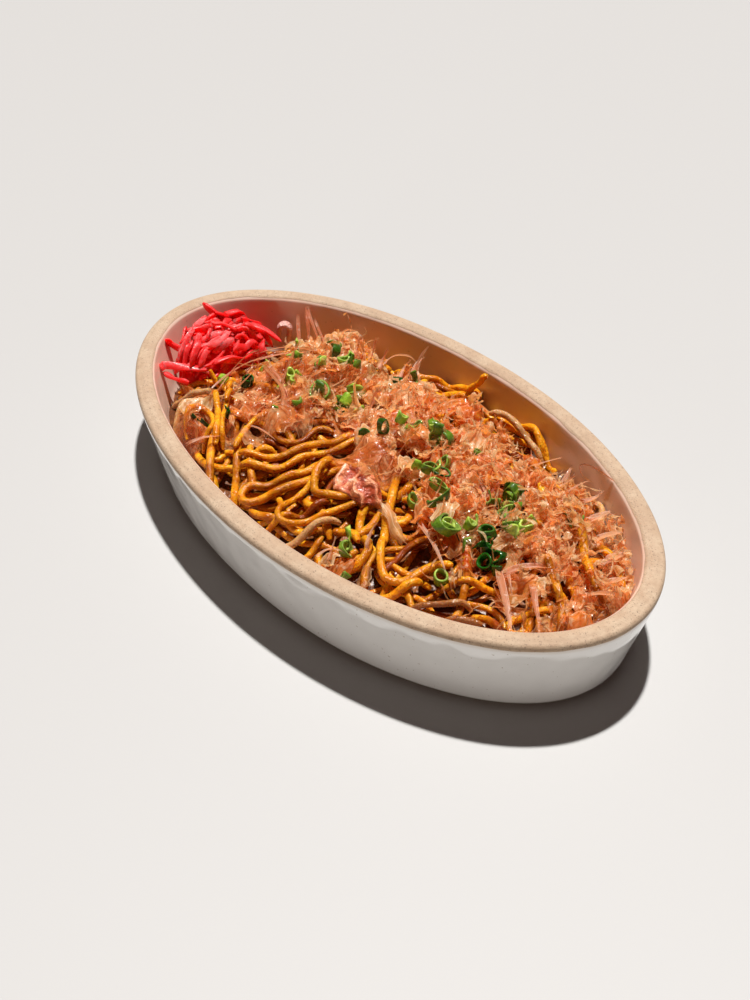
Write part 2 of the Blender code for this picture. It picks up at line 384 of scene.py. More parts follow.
class Finish:
    """A material built from nodes: subclasses say what feeds its shader."""

    name = "finish"

    def __init__(self) -> None:
        """Build the material."""
        self.material = bpy.data.materials.new(self.name)
        self.material.use_nodes = True
        self.tree = Tree(self.material.node_tree)
        self.shader = self.material.node_tree.nodes["Principled BSDF"]
        self.dress()

    def dress(self) -> None:
        """Feed the shader."""
        raise NotImplementedError

    def mottled(self, vector: object, scale: float, shift: object) -> tuple[object, ...]:
        """Broad and fine patches from the shared group, which shift moves about."""
        node = self.tree.add("ShaderNodeGroup", node_tree=MOTTLE)
        return tuple(self.tree.feed(node, Vector=vector, Scale=scale, Shift=shift).outputs)

    def lets_light_through(self, colour: object, share: float) -> None:
        """Mix in light that comes through a thin piece from behind.

        Args:
            colour: the colour that the light takes on.
            share: how much of the light comes through, from 0 to 1.
        """
        glow = self.tree.add("ShaderNodeBsdfTranslucent")
        self.tree.feed(glow, Color=colour)
        blend = self.tree.add("ShaderNodeMixShader")
        self.tree.feed(blend, Fac=share, input1=self.shader.outputs[0], input2=glow.outputs[0])
        output = self.material.node_tree.nodes["Material Output"]
        self.tree.feed(output, Surface=blend.outputs[0])


class Stoneware(Finish):
    """White gloss glaze over tan speckled clay, which is bare where the attribute says so. Inside, the
    white glaze carries painted shade and painted warm bounce light from the food.
    """

    name = "stoneware"
    clay: tuple[Colour, Colour] = ((0.45, 0.300, 0.182), (0.51, 0.365, 0.235))
    dark_clay: Colour = (0.36, 0.220, 0.130)
    dot: Colour = (0.16, 0.095, 0.055)
    glaze: tuple[Colour, Colour] = ((0.85, 0.835, 0.80), (0.80, 0.78, 0.745))
    thin_glaze: Colour = (0.70, 0.60, 0.50)
    # painted shade and painted warm bounce light from the food, laid over the white inner glaze
    lining: Colour = (0.76, 0.56, 0.44)
    pit: Colour = (0.35, 0.26, 0.18)
    edge_wander = 0.0005
    edge_blur = 0.00012
    gloss = (0.07, 0.34)
    clay_rough = 0.82
    relief = 0.00018

    def dress(self) -> None:
        """Feed the shader."""
        tree = self.tree
        place = tree.object_place()
        reach = tree.attribute("bare")
        wander = tree.spread(tree.noise(place, 90.0, 2.0), -self.edge_wander, self.edge_wander)
        bare = tree.ramp(tree.maths("ADD", reach, wander), -self.edge_blur, self.edge_blur)
        broad, fine = self.mottled(place, 130.0, 0.0)
        clay = tree.mix(broad, *self.clay)
        clay = tree.mix(tree.spread(fine, 0.0, 0.35), clay, self.dark_clay)
        dots = tree.ramp(tree.noise(place, 1900.0, 1.0), 0.63, 0.70)
        clay = tree.mix(tree.spread(dots, 0.0, 0.75), clay, self.dot)
        glaze = tree.mix(tree.spread(broad, 0.0, 0.4), *self.glaze)
        edge = tree.maths("MULTIPLY", tree.ramp(reach, -0.0016, -0.0002), 0.55)
        glaze = tree.mix(edge, glaze, self.thin_glaze)
        # the inside of the dish gets painted shade and painted warm bounce light from the food
        glaze = tree.mix(tree.attribute("inside"), glaze, self.lining)
        pits = tree.ramp(tree.noise(place, 900.0, 1.0), 0.74, 0.78)
        glaze = tree.mix(tree.spread(pits, 0.0, 0.6), glaze, self.pit)
        colour = tree.mix(bare, glaze, clay)
        gloss = tree.spread(tree.attribute("inside"), *self.gloss)
        rough = tree.maths("MAXIMUM", tree.spread(bare, 0.0, self.clay_rough), gloss)
        grain = tree.maths("MULTIPLY", tree.noise(place, 1600.0, 3.0), bare)
        swell = tree.maths("MULTIPLY", tree.noise(place, 70.0, 1.0), 5.0)
        tree.feed(self.shader, Base_Color=colour, Roughness=rough, IOR=1.95)
        tree.feed(self.shader, Normal=tree.bump(tree.maths("ADD", grain, swell), self.relief))


class Noodle(Finish):
    """Moist wheat noodle, stained unevenly by brown sauce."""

    name = "noodle"
    body: Colour = (0.66, 0.205, 0.003)
    dark: Colour = (0.25, 0.042, 0.002)
    pale: Colour = (0.88, 0.42, 0.014)
    rough = (0.32, 0.52)

    def dress(self) -> None:
        """Feed the shader."""
        tree = self.tree
        place = tree.object_place()
        tone = tree.attribute("tone")
        broad, fine = self.mottled(place, 75.0, tone)
        stain = tree.ramp(tree.maths("ADD", tree.maths("MULTIPLY", broad, 0.8), tone), 0.55, 1.50)
        colour = tree.mix(tree.spread(fine, 0.0, 0.7), self.body, self.pale)
        colour = tree.mix(stain, colour, self.dark)
        specks = tree.ramp(tree.noise(place, 900.0, 2.0), 0.62, 0.70)
        colour = tree.mix(tree.spread(specks, 0.0, 0.75), colour, self.dark)
        fine_relief = tree.maths("MULTIPLY", tree.noise(place, 1500.0, 2.0), 0.35)
        relief = tree.maths("ADD", tree.noise(place, 330.0, 3.0), fine_relief)
        tree.feed(self.shader, Base_Color=colour, Roughness=tree.spread(fine, *self.rough), IOR=1.33)
        tree.feed(self.shader, Specular_IOR_Level=0.2)
        tree.feed(self.shader, Coat_Weight=0.45, Coat_Roughness=0.16, Coat_IOR=1.55)
        tree.feed(self.shader, Subsurface_Weight=0.5, Subsurface_Scale=0.0026)
        tree.feed(self.shader, Subsurface_Radius=(1.0, 0.42, 0.10))
        normal = tree.bump(relief, 0.0012, 0.8)
        tree.feed(self.shader, Normal=normal, Coat_Normal=normal)


class Sprout(Noodle):
    """Pale bean sprout, softened by the heat."""

    name = "bean_sprout"
    body = (0.50, 0.25, 0.09)
    dark = (0.28, 0.10, 0.025)
    pale = (0.68, 0.42, 0.20)
    rough = (0.18, 0.30)


class Ginger(Finish):
    """Red pickled ginger, wet and a little clear."""

    name = "ginger"
    reds: tuple[Colour, Colour] = ((1.0, 0.014, 0.015), (1.0, 0.045, 0.045))
    pink: Colour = (1.0, 0.13, 0.13)

    def dress(self) -> None:
        """Feed the shader."""
        tree = self.tree
        place = tree.object_place()
        tone = tree.attribute("tone")
        broad, fine = self.mottled(place, 160.0, tone)
        colour = tree.mix(broad, *self.reds)
        paler = tree.ramp(tree.maths("ADD", tree.maths("MULTIPLY", fine, 0.3), tone), 0.75, 1.2)
        colour = tree.mix(paler, colour, self.pink)
        normal = tree.bump(tree.noise(place, 420.0, 2.0), 0.0004, 0.7)
        tree.feed(self.shader, Base_Color=colour, Roughness=tree.spread(fine, 0.38, 0.65))
        tree.feed(self.shader, Specular_IOR_Level=0.3, Coat_Weight=0.12, Coat_Roughness=0.16)
        tree.feed(self.shader, Normal=normal, Coat_Normal=normal)
        tree.feed(self.shader, Subsurface_Weight=0.9, Subsurface_Scale=0.0045)
        tree.feed(self.shader, Subsurface_Radius=(1.0, 0.10, 0.10))


class Flake(Finish):
    """Paper-thin shaving of dried fish, with its grain along the piece."""

    name = "flake"
    shades: tuple[Colour, ...] = ((0.66, 0.085, 0.006), (1.0, 0.33, 0.042), (1.0, 0.68, 0.28))
    fibres: tuple[Colour, ...] = ((1.0, 0.46, 0.11), (1.0, 0.90, 0.60))
    clear = (0.50, 0.95)
    rough = (0.22, 0.42)
    through = 0.46
    glow: Colour = (1.0, 0.36, 0.05)
    grain = (1.6, 9.0)
    coat = 0.25
    coat_rough = 0.12
    relief = 0.0004
    streaks = 0.8

    def dress(self) -> None:
        """Feed the shader."""
        tree = self.tree
        tone = tree.attribute("tone")
        spot = tree.add("ShaderNodeUVMap").outputs["UV"]
        stretch = tree.add("ShaderNodeMapping")
        tree.feed(stretch, Vector=spot, Scale=(*self.grain, 1.0))
        shift = tree.maths("MULTIPLY", tone, 40.0)
        grain = tree.noise(stretch.outputs["Vector"], 1.0, 5.0, W=shift)
        sides = tree.add("ShaderNodeSeparateXYZ")
        tree.feed(sides, Vector=spot)
        ends, rims = [tree.maths("ABSOLUTE", tree.maths("SUBTRACT", sides.outputs[axis], 0.5))
                      for axis in ("X", "Y")]
        rim = tree.ramp(tree.maths("MAXIMUM", ends, rims), 0.40, 0.50)
        streak = tree.maths("MAXIMUM", tree.ramp(grain, 0.42, 0.70), rim)
        deep = tree.mix(tree.ramp(tone, 0.0, 0.45), *self.shades[:2])
        body = tree.mix(tree.ramp(tone, 0.45, 1.0), deep, self.shades[2])
        fibre = tree.mix(tone, *self.fibres)
        colour = tree.mix(tree.spread(streak, 0.0, self.streaks), body, fibre)
        place = tree.object_place()
        pale = tree.ramp(tree.noise(place, 420.0, 3.0), 0.54, 0.68)
        colour = tree.mix(tree.spread(pale, 0.0, 0.8 * self.streaks), colour, self.fibres[1])
        clear = tree.maths("MAXIMUM", streak, tree.maths("MULTIPLY", pale, 0.7))
        tree.feed(self.shader, Base_Color=colour, Alpha=tree.spread(clear, *self.clear))
        tree.feed(self.shader, Roughness=tree.spread(streak, *self.rough))
        tree.feed(self.shader, Coat_Weight=self.coat, Coat_Roughness=self.coat_rough)
        wrinkle = tree.maths("ADD", grain, tree.maths("MULTIPLY", tree.noise(place, 500.0, 3.0), 0.8))
        tree.feed(self.shader, Normal=tree.bump(wrinkle, self.relief, 1.0))
        self.lets_light_through(tree.mix(0.5, colour, self.glow), self.through)


class DarkFlake(Flake):
    """A brown shred that stands against the wall."""

    name = "dark_flake"
    shades = ((0.30, 0.08, 0.025), (0.50, 0.17, 0.06), (0.70, 0.30, 0.12))
    fibres = ((0.45, 0.16, 0.06), (0.80, 0.42, 0.20))
    clear = (0.60, 0.90)
    coat = 0.2


class BlushFlake(Flake):
    """A pinker, longer shaving."""

    name = "blush_flake"
    shades = ((0.62, 0.15, 0.060), (0.92, 0.38, 0.19), (1.0, 0.62, 0.40))
    fibres = ((0.95, 0.46, 0.26), (1.0, 0.84, 0.68))
    clear = (0.45, 0.85)


class MoistFlake(Flake):
    """A shaving that has drawn up sauce: a clear, glossy, wrinkled film."""

    name = "moist_flake"
    shades = ((0.50, 0.090, 0.010), (0.92, 0.31, 0.055), (1.0, 0.56, 0.22))
    fibres = ((1.0, 0.46, 0.15), (1.0, 0.80, 0.50))
    clear = (0.20, 0.56)
    streaks = 0.5
    rough = (0.08, 0.20)
    through = 0.25
    grain = (1.2, 5.0)
    coat = 1.0
    relief = 0.0010


class Onion(Finish):
    """Thin-cut green onion: dark skin, paler cut edges and inner side."""

    name = "onion"
    outer: tuple[Colour, Colour] = ((0.003, 0.045, 0.004), (0.36, 0.62, 0.032))
    inner: tuple[Colour, Colour] = ((0.02, 0.16, 0.008), (0.72, 0.88, 0.17))
    dark: Colour = (0.004, 0.06, 0.005)

    def dress(self) -> None:
        """Feed the shader."""
        tree = self.tree
        tone = tree.attribute("tone")
        place = tree.object_place()
        broad, fine = self.mottled(place, 420.0, tone)
        outer = tree.mix(tone, *self.outer)
        inner = tree.mix(tone, *self.inner)
        colour = tree.mix(tree.attribute("skin"), inner, outer)
        colour = tree.mix(tree.spread(fine, 0.0, 0.30), colour, inner)
        colour = tree.mix(tree.spread(broad, 0.0, 0.45), colour, self.dark)
        tree.feed(self.shader, Base_Color=colour, Roughness=tree.spread(broad, 0.2, 0.4))
        tree.feed(self.shader, Specular_IOR_Level=0.2)
        tree.feed(self.shader, Coat_Weight=0.9, Coat_Roughness=0.05, Coat_IOR=1.5)
        tree.feed(self.shader, Normal=tree.bump(tree.noise(place, 500.0, 2.0), 0.0006, 0.8))
        self.lets_light_through(colour, 0.2)


class Meat(Finish):
    """Cooked meat or squid: pale on the tops of its folds, darker between them, and moist."""

    name = "pork"
    lean: Colour = (0.46, 0.075, 0.028)
    fat: Colour = (0.88, 0.33, 0.16)
    pale: Colour = (1.0, 0.60, 0.42)
    gloss = 1.0

    def dress(self) -> None:
        """Feed the shader."""
        tree = self.tree
        place = tree.object_place()
        fold = tree.attribute("tone")
        broad, fine = self.mottled(place, 130.0, 3.0)
        height = tree.maths("ADD", fold, tree.maths("MULTIPLY", broad, 0.45))
        # colour follows fold height: darker in the valleys between folds, paler on their tops
        colour = tree.mix(tree.ramp(height, 0.35, 0.85), self.lean, self.fat)
        colour = tree.mix(tree.ramp(height, 0.80, 1.35), colour, self.pale)
        tree.feed(self.shader, Base_Color=colour, Roughness=tree.spread(fine, 0.22, 0.45))
        tree.feed(self.shader, Coat_Weight=self.gloss, Coat_Roughness=0.08)
        relief = tree.maths("ADD", tree.noise(place, 260.0, 4.0), tree.maths("MULTIPLY", fine, 0.5))
        normal = tree.bump(relief, 0.0010, 0.9)
        tree.feed(self.shader, Normal=normal, Coat_Normal=normal)


class Squid(Meat):
    """Pale pink cooked squid."""

    name = "squid"
    lean = (0.74, 0.38, 0.31)
    fat = (0.82, 0.50, 0.43)
    pale = (0.90, 0.66, 0.60)
    gloss = 0.1


class Bed(Finish):
    """The inside of the heap, seen between the strands, in a dark brown that is painted shade."""

    name = "noodle_shade_bed"
    # painted shade: the dark browns stand for the shade deep inside the heap
    browns: tuple[Colour, Colour] = ((0.10, 0.026, 0.006), (0.24, 0.075, 0.012))
    deep: Colour = (0.10, 0.03, 0.006)

    def dress(self) -> None:
        """Feed the shader."""
        tree = self.tree
        place = tree.object_place()
        broad, fine = self.mottled(place, 120.0, 1.0)
        # painted shade in the gaps between the strands
        colour = tree.mix(broad, *self.browns)
        colour = tree.mix(tree.spread(fine, 0.0, 0.5), colour, self.deep)
        tree.feed(self.shader, Base_Color=colour, Roughness=0.35)
        tree.feed(self.shader, Normal=tree.bump(tree.noise(place, 250.0, 3.0), 0.0012))


# ---- making pieces
def paint(mesh: bpy.types.Mesh, name: str, values: Sequence[float]) -> None:
    """Give each corner of the mesh its value, in an attribute of that name."""
    mesh.attributes.new(name, "FLOAT", "POINT").data.foreach_set("value", values)


def finished(bm: bmesh.types.BMesh, name: str) -> bpy.types.Mesh:
    """Turn a modelled shape into a mesh.

    Args:
        bm: the shape, which is freed.
        name: the mesh's name.

    Returns:
        The mesh.
    """
    mesh = bpy.data.meshes.new(name)
    bm.to_mesh(mesh)
    bm.free()
    return mesh


def merged_copy(node: str) -> bmesh.types.BMesh:
    """A copy of a CAD node to model on.

    Args:
        node: the node's name.

    Returns:
        The copy, with its loose triangles joined.
    """
    bm = bmesh.new()
    bm.from_mesh(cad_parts[node].data)
    bmesh.ops.remove_doubles(bm, verts=bm.verts, dist=1e-6)
    return bm


def put_in_scene(name: str, mesh: bpy.types.Mesh, finish: Finish, node: str) -> None:
    """Make a mesh a piece of the dish.

    Args:
        name: the piece's name.
        mesh: its mesh, with its place in it.
        finish: what it is dressed in.
        node: the CAD node that it stands for.
    """
    mesh.name = name
    piece = bpy.data.objects.new(name, mesh)
    bpy.context.scene.collection.objects.link(piece)
    mesh.materials.clear()
    mesh.materials.append(finish.material)
    mesh.shade_smooth()
    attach(piece, "root")
    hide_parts(node)
    top = 1000 * max(corner.co.z for corner in mesh.vertices)
    LOG.info("%s: %d faces, up to %.1f mm", name, len(mesh.polygons), top)


@dataclass
class Strand:
    """One strand: its middle line, its thickness along it, and its shade from 0 to 1."""

    points: np.ndarray
    radius: np.ndarray
    tone: float


def tubes(strands: Sequence[Strand], sides: int) -> bpy.types.Mesh:
    """One mesh of many round strands, swept by curves.

    Args:
        strands: the strands to sweep.
        sides: how finely the section is rounded, from 0.

    Returns:
        The mesh, with each strand's shade in the tone attribute.
    """
    joined = bmesh.new()
    shade = joined.verts.layers.float.new("tone")
    for strand in strands:
        curve = bpy.data.curves.new("strand", "CURVE")
        curve.dimensions = "3D"
        curve.use_fill_caps = True
        curve.bevel_depth = 1.0
        curve.bevel_resolution = sides
        spline = curve.splines.new("POLY")
        spline.points.add(len(strand.points) - 1)
        flat = np.hstack([strand.points, np.ones((len(strand.points), 1))]).astype(np.float32)
        spline.points.foreach_set("co", flat.ravel())
        spline.points.foreach_set("radius", strand.radius.astype(np.float32))
        holder = bpy.data.objects.new("strand", curve)
        swept = bpy.data.meshes.new_from_object(holder)
        start = len(joined.verts)
        joined.from_mesh(swept)
        joined.verts.ensure_lookup_table()
        for index in range(start, len(joined.verts)):
            joined.verts[index][shade] = strand.tone
        bpy.data.objects.remove(holder)
        bpy.data.curves.remove(curve)
        bpy.data.meshes.remove(swept)
    bmesh.ops.recalc_face_normals(joined, faces=joined.faces)
    return finished(joined, "strands")


def between(values: np.ndarray, marks: np.ndarray) -> np.ndarray:
    """Rows of values, read at marks that may fall between two rows."""
    index = np.arange(len(values))
    return np.stack([np.interp(marks, index, column) for column in values.T], axis=1)


def directions(line: np.ndarray) -> tuple[np.ndarray, np.ndarray]:
    """Two directions square to a line at each of its points.

    Args:
        line: the line's points.

    Returns:
        The level direction across it, and the one square to that.
    """
    ahead = np.gradient(line, axis=0)
    ahead /= np.linalg.norm(ahead, axis=1)[:, None]
    across = np.cross(ahead, (0.0, 0.0, 1.0))
    across /= np.linalg.norm(across, axis=1)[:, None] + 1e-9
    return across, np.cross(across, ahead)


def rolled(across: np.ndarray, above: np.ndarray, roll: np.ndarray) -> tuple[np.ndarray, np.ndarray]:
    """The two directions, turned about the line by an angle at each point."""
    cosine, sine = np.cos(roll)[:, None], np.sin(roll)[:, None]
    return across * cosine + above * sine, above * cosine - across * sine


def strips(strands: Sequence[Strand], section: Sequence[Place], rings: int, twist: float) -> bpy.types.Mesh:
    """One mesh of many cut strips with the given section.

    Args:
        strands: the strips' middle lines.
        section: corners of the section of a strip whose radius is 1.
        rings: how many sections each strip has.
        twist: how far a strip turns about its length, in radians.

    Returns:
        The mesh, with each strip's shade in the tone attribute.
    """
    bm = bmesh.new()
    bmesh.ops.create_circle(bm, cap_ends=True, segments=len(section), radius=1.0)
    last = bm.faces[:]
    for _ in range(rings - 1):
        last = bmesh.ops.extrude_discrete_faces(bm, faces=last)["faces"]
        corners = {corner for face in last for corner in face.verts}
        bmesh.ops.translate(bm, verts=list(corners), vec=(0.0, 0.0, 1.0))
    bmesh.ops.recalc_face_normals(bm, faces=bm.faces)
    plain = np.array([corner.co for corner in bm.verts])
    level = np.rint(plain[:, 2]).astype(int)
    turned = np.arctan2(plain[:, 1], plain[:, 0]) / (2 * math.pi / len(section))
    wide, high = np.array(section)[np.rint(turned).astype(int) % len(section)].T[:, :, None]
    shapes = []
    for strand in strands:
        marks = np.linspace(0, len(strand.points) - 1, rings)
        line = between(strand.points, marks)
        width = between(strand.radius[:, None], marks)
        roll = strand.tone * 6.0 + twist * np.linspace(-0.5, 0.5, rings)
        first, second = rolled(*directions(line), roll)
        shapes.append(line[level] + (first[level] * wide + second[level] * high) * width[level])
    return scattered(bm, shapes, [strand.tone for strand in strands])


def scattered(pattern: bmesh.types.BMesh, shapes: Sequence[np.ndarray],
              tones: Sequence[float]) -> bpy.types.Mesh:
    """One mesh of many copies of a small pattern, each bent to its own shape.

    Args:
        pattern: the plain shape that each piece starts as; it is freed.
        shapes: for each piece, where the pattern's corners end up.
        tones: for each piece, its shade from 0 to 1.

    Returns:
        The mesh, with each piece's shade in the tone attribute.
    """
    one = finished(pattern, "pattern")
    size, copies = len(one.vertices), len(shapes)
    faces = [tuple(face.vertices) for face in one.polygons]
    mesh = bpy.data.meshes.new("scattered")
    mesh.from_pydata(
        np.concatenate(shapes), [],
        [tuple(size * number + index for index in face) for number in range(copies) for face in faces],
    )
    paint(mesh, "tone", np.repeat(tones, size))
    if one.uv_layers:
        spots = np.zeros(2 * len(one.loops), np.float32)
        one.uv_layers[0].data.foreach_get("uv", spots)
        mesh.uv_layers.new(name="UVMap").data.foreach_set("uv", np.tile(spots, copies))
    mesh.update()
    bpy.data.meshes.remove(one)
    return mesh


def turn(angles: Sequence[float]) -> np.ndarray:
    """The rotation matrix for turns about X, Y and then Z."""
    return np.array(Euler(angles, "XYZ").to_matrix())


# ---- the dish
@dataclass
class Dish:
    """The oval stoneware dish, glazed up to its bare clay rim.

    Its length and width are those of the foot and of the rim.
    """

    length: Place = (0.2305, 0.2500)
    width: Place = (0.1226, 0.1370)
    height: float = 0.0340
    wall: float = 0.0076
    floor: float = 0.0065
    outer_radius: float = 0.0024
    inner_radius: float = 0.0016
    crown: float = 0.0004
    heel: float = 0.0030
    corner: float = 0.0090
    foot_ring: tuple[float, float, float] = (0.030, 0.012, 0.010)
    foot_recess: float = 0.0008
    glaze: float = 0.00022
    glaze_lip: float = 0.0006
    outer_glaze_drop: float = 0.0030
    inner_glaze_start: float = 0.7
    sway: tuple[float, float] = (0.00014, 0.00010)
    segments: int = 224

    def half_sizes(self, height: float) -> Place:
        """Half length and half width of the outer wall at a height."""
        part = height / self.height
        return tuple((foot + (rim - foot) * part) / 2 for foot, rim in (self.length, self.width))

    def section(self) -> list[tuple[float, float, float]]:
        """The wall's section, from under the foot over the rim to the floor inside.

        Returns:
            For each point its inset, its height and how far it is from the glaze's edge.
        """
        right = math.pi / 2
        top = self.height - self.crown

        def arc(centre: Place, radius: float, start: float, end: float, steps: int) -> list[Place]:
            """Points on an arc between two angles."""
            turns = [start + (end - start) * k / steps for k in range(steps + 1)]
            return [(centre[0] + radius * math.cos(t), centre[1] + radius * math.sin(t)) for t in turns]

        def line(first: Place, last: Place, steps: int) -> list[Place]:
            """Points between two others, which are left out."""
            parts = [k / steps for k in range(1, steps)]
            return [tuple(a + (b - a) * p for a, b in zip(first, last)) for p in parts]

        points = list(zip(self.foot_ring, (self.foot_recess, self.foot_recess, 0.0)))
        points += arc((self.heel, self.heel), self.heel, 3 * right, 2 * right, 7)
        shoulder = (self.outer_radius, top - self.outer_radius)
        points += line(points[-1], (0.0, shoulder[1]), 26)
        points += arc(shoulder, self.outer_radius, 2 * right, right, 8)
        lip = (self.wall - self.inner_radius, top - self.inner_radius)
        points += [(x, top + self.crown * math.sin(math.pi * (x - shoulder[0]) / (lip[0] - shoulder[0])))
                   for x, _ in line(shoulder, lip, 8)]
        points += arc(lip, self.inner_radius, right, 0.0, 7)
        bend = (self.wall + self.corner, self.floor + self.corner)
        points += line(points[-1], (self.wall, bend[1]), 12)
        points += arc(bend, self.corner, 2 * right, 3 * right, 8)
        run = [0.0]
        for (x0, z0), (x1, z1) in zip(points, points[1:]):
            run.append(run[-1] + math.hypot(x1 - x0, z1 - z0))
        edge = lip[0] + self.inner_glaze_start * self.inner_radius
        outer = next(r for r, (x, z) in zip(run, points) if x < 0.001 and z > top - self.outer_glaze_drop)
        inner = next(r for r, (x, z) in zip(run, points) if z > lip[1] and x >= edge)
        foot = next(r for r, (x, z) in zip(run, points) if x < 0.004 and z > self.glaze_lip)
        made = []
        for r, (x, z) in zip(run, points):
            bare = max(min(r - outer, inner - r), foot - r)
            coat = self.glaze * smooth_step(0.0, self.glaze_lip, -bare)
            made.append((x + (coat if x > self.wall * 0.6 and z > self.floor else -coat), z, bare))
        return made

    def build(self, finish: Finish) -> None:
        """Spin the section into a round dish of radius 1, then pull it in to the oval.

        Args:
            finish: the glaze and the clay.
        """
        bm = bmesh.new()
        clay = bm.verts.layers.float.new("bare")
        inside = bm.verts.layers.float.new("inside")
        corners = []
        for inset, height, bare in self.section():
            corner = bm.verts.new((1.0 - inset, 0.0, height))
            corner[clay] = bare
            corner[inside] = float(inset > 0.6 * self.wall and height > self.floor - 0.001)
            corners.append(corner)
        edges = [bm.edges.new(pair) for pair in zip(corners, corners[1:])]
        bmesh.ops.spin(bm, geom=corners + edges, cent=(0, 0, 0), axis=(0, 0, 1),
                       angle=2 * math.pi, steps=self.segments, use_merge=True, use_duplicate=False)
        for corner in bm.verts:
            inset = 1.0 - math.hypot(corner.co.x, corner.co.y)
            angle = math.atan2(corner.co.y, corner.co.x)
            along, across = self.half_sizes(corner.co.z)
            broad, narrow = math.sin(3 * angle + 1.0), math.sin(7 * angle + 55 * corner.co.z)
            inset += self.sway[0] * broad + self.sway[1] * narrow
            corner.co.x = (along - inset) * math.cos(angle)
            corner.co.y = (across - inset) * math.sin(angle)
        rims = [edge for edge in bm.edges if edge.is_boundary]
        bmesh.ops.holes_fill(bm, edges=rims, sides=0)
        bmesh.ops.triangulate(bm, faces=[face for face in bm.faces if len(face.verts) > 4])
        bmesh.ops.recalc_face_normals(bm, faces=bm.faces)
        put_in_scene("stoneware_dish", finished(bm, "dish"), finish, "dish")


# ---- strands that pile up
@dataclass(frozen=True)
class Route:
    """A strand whose points are given.

    Its points are shares of the dish's half sizes and, where it isn't 0, a height in
    millimetres over what the strand lies on, or over the table for a free one.
    """

    points: tuple[tuple[float, ...], ...]
    radius: float
    tone: float = 0.4
    free: bool = False


@dataclass
class Wander:
    """How loose strands lie: their thickness, length and curves."""

    radius: float
    lengths: tuple[float, float]
    sway: float
    waves: tuple[float, float]
    hairpins: float
    stiffness: int
    step: float
    level: float = 0.024
    turn_from: float = 0.80
    heading: float | None = None


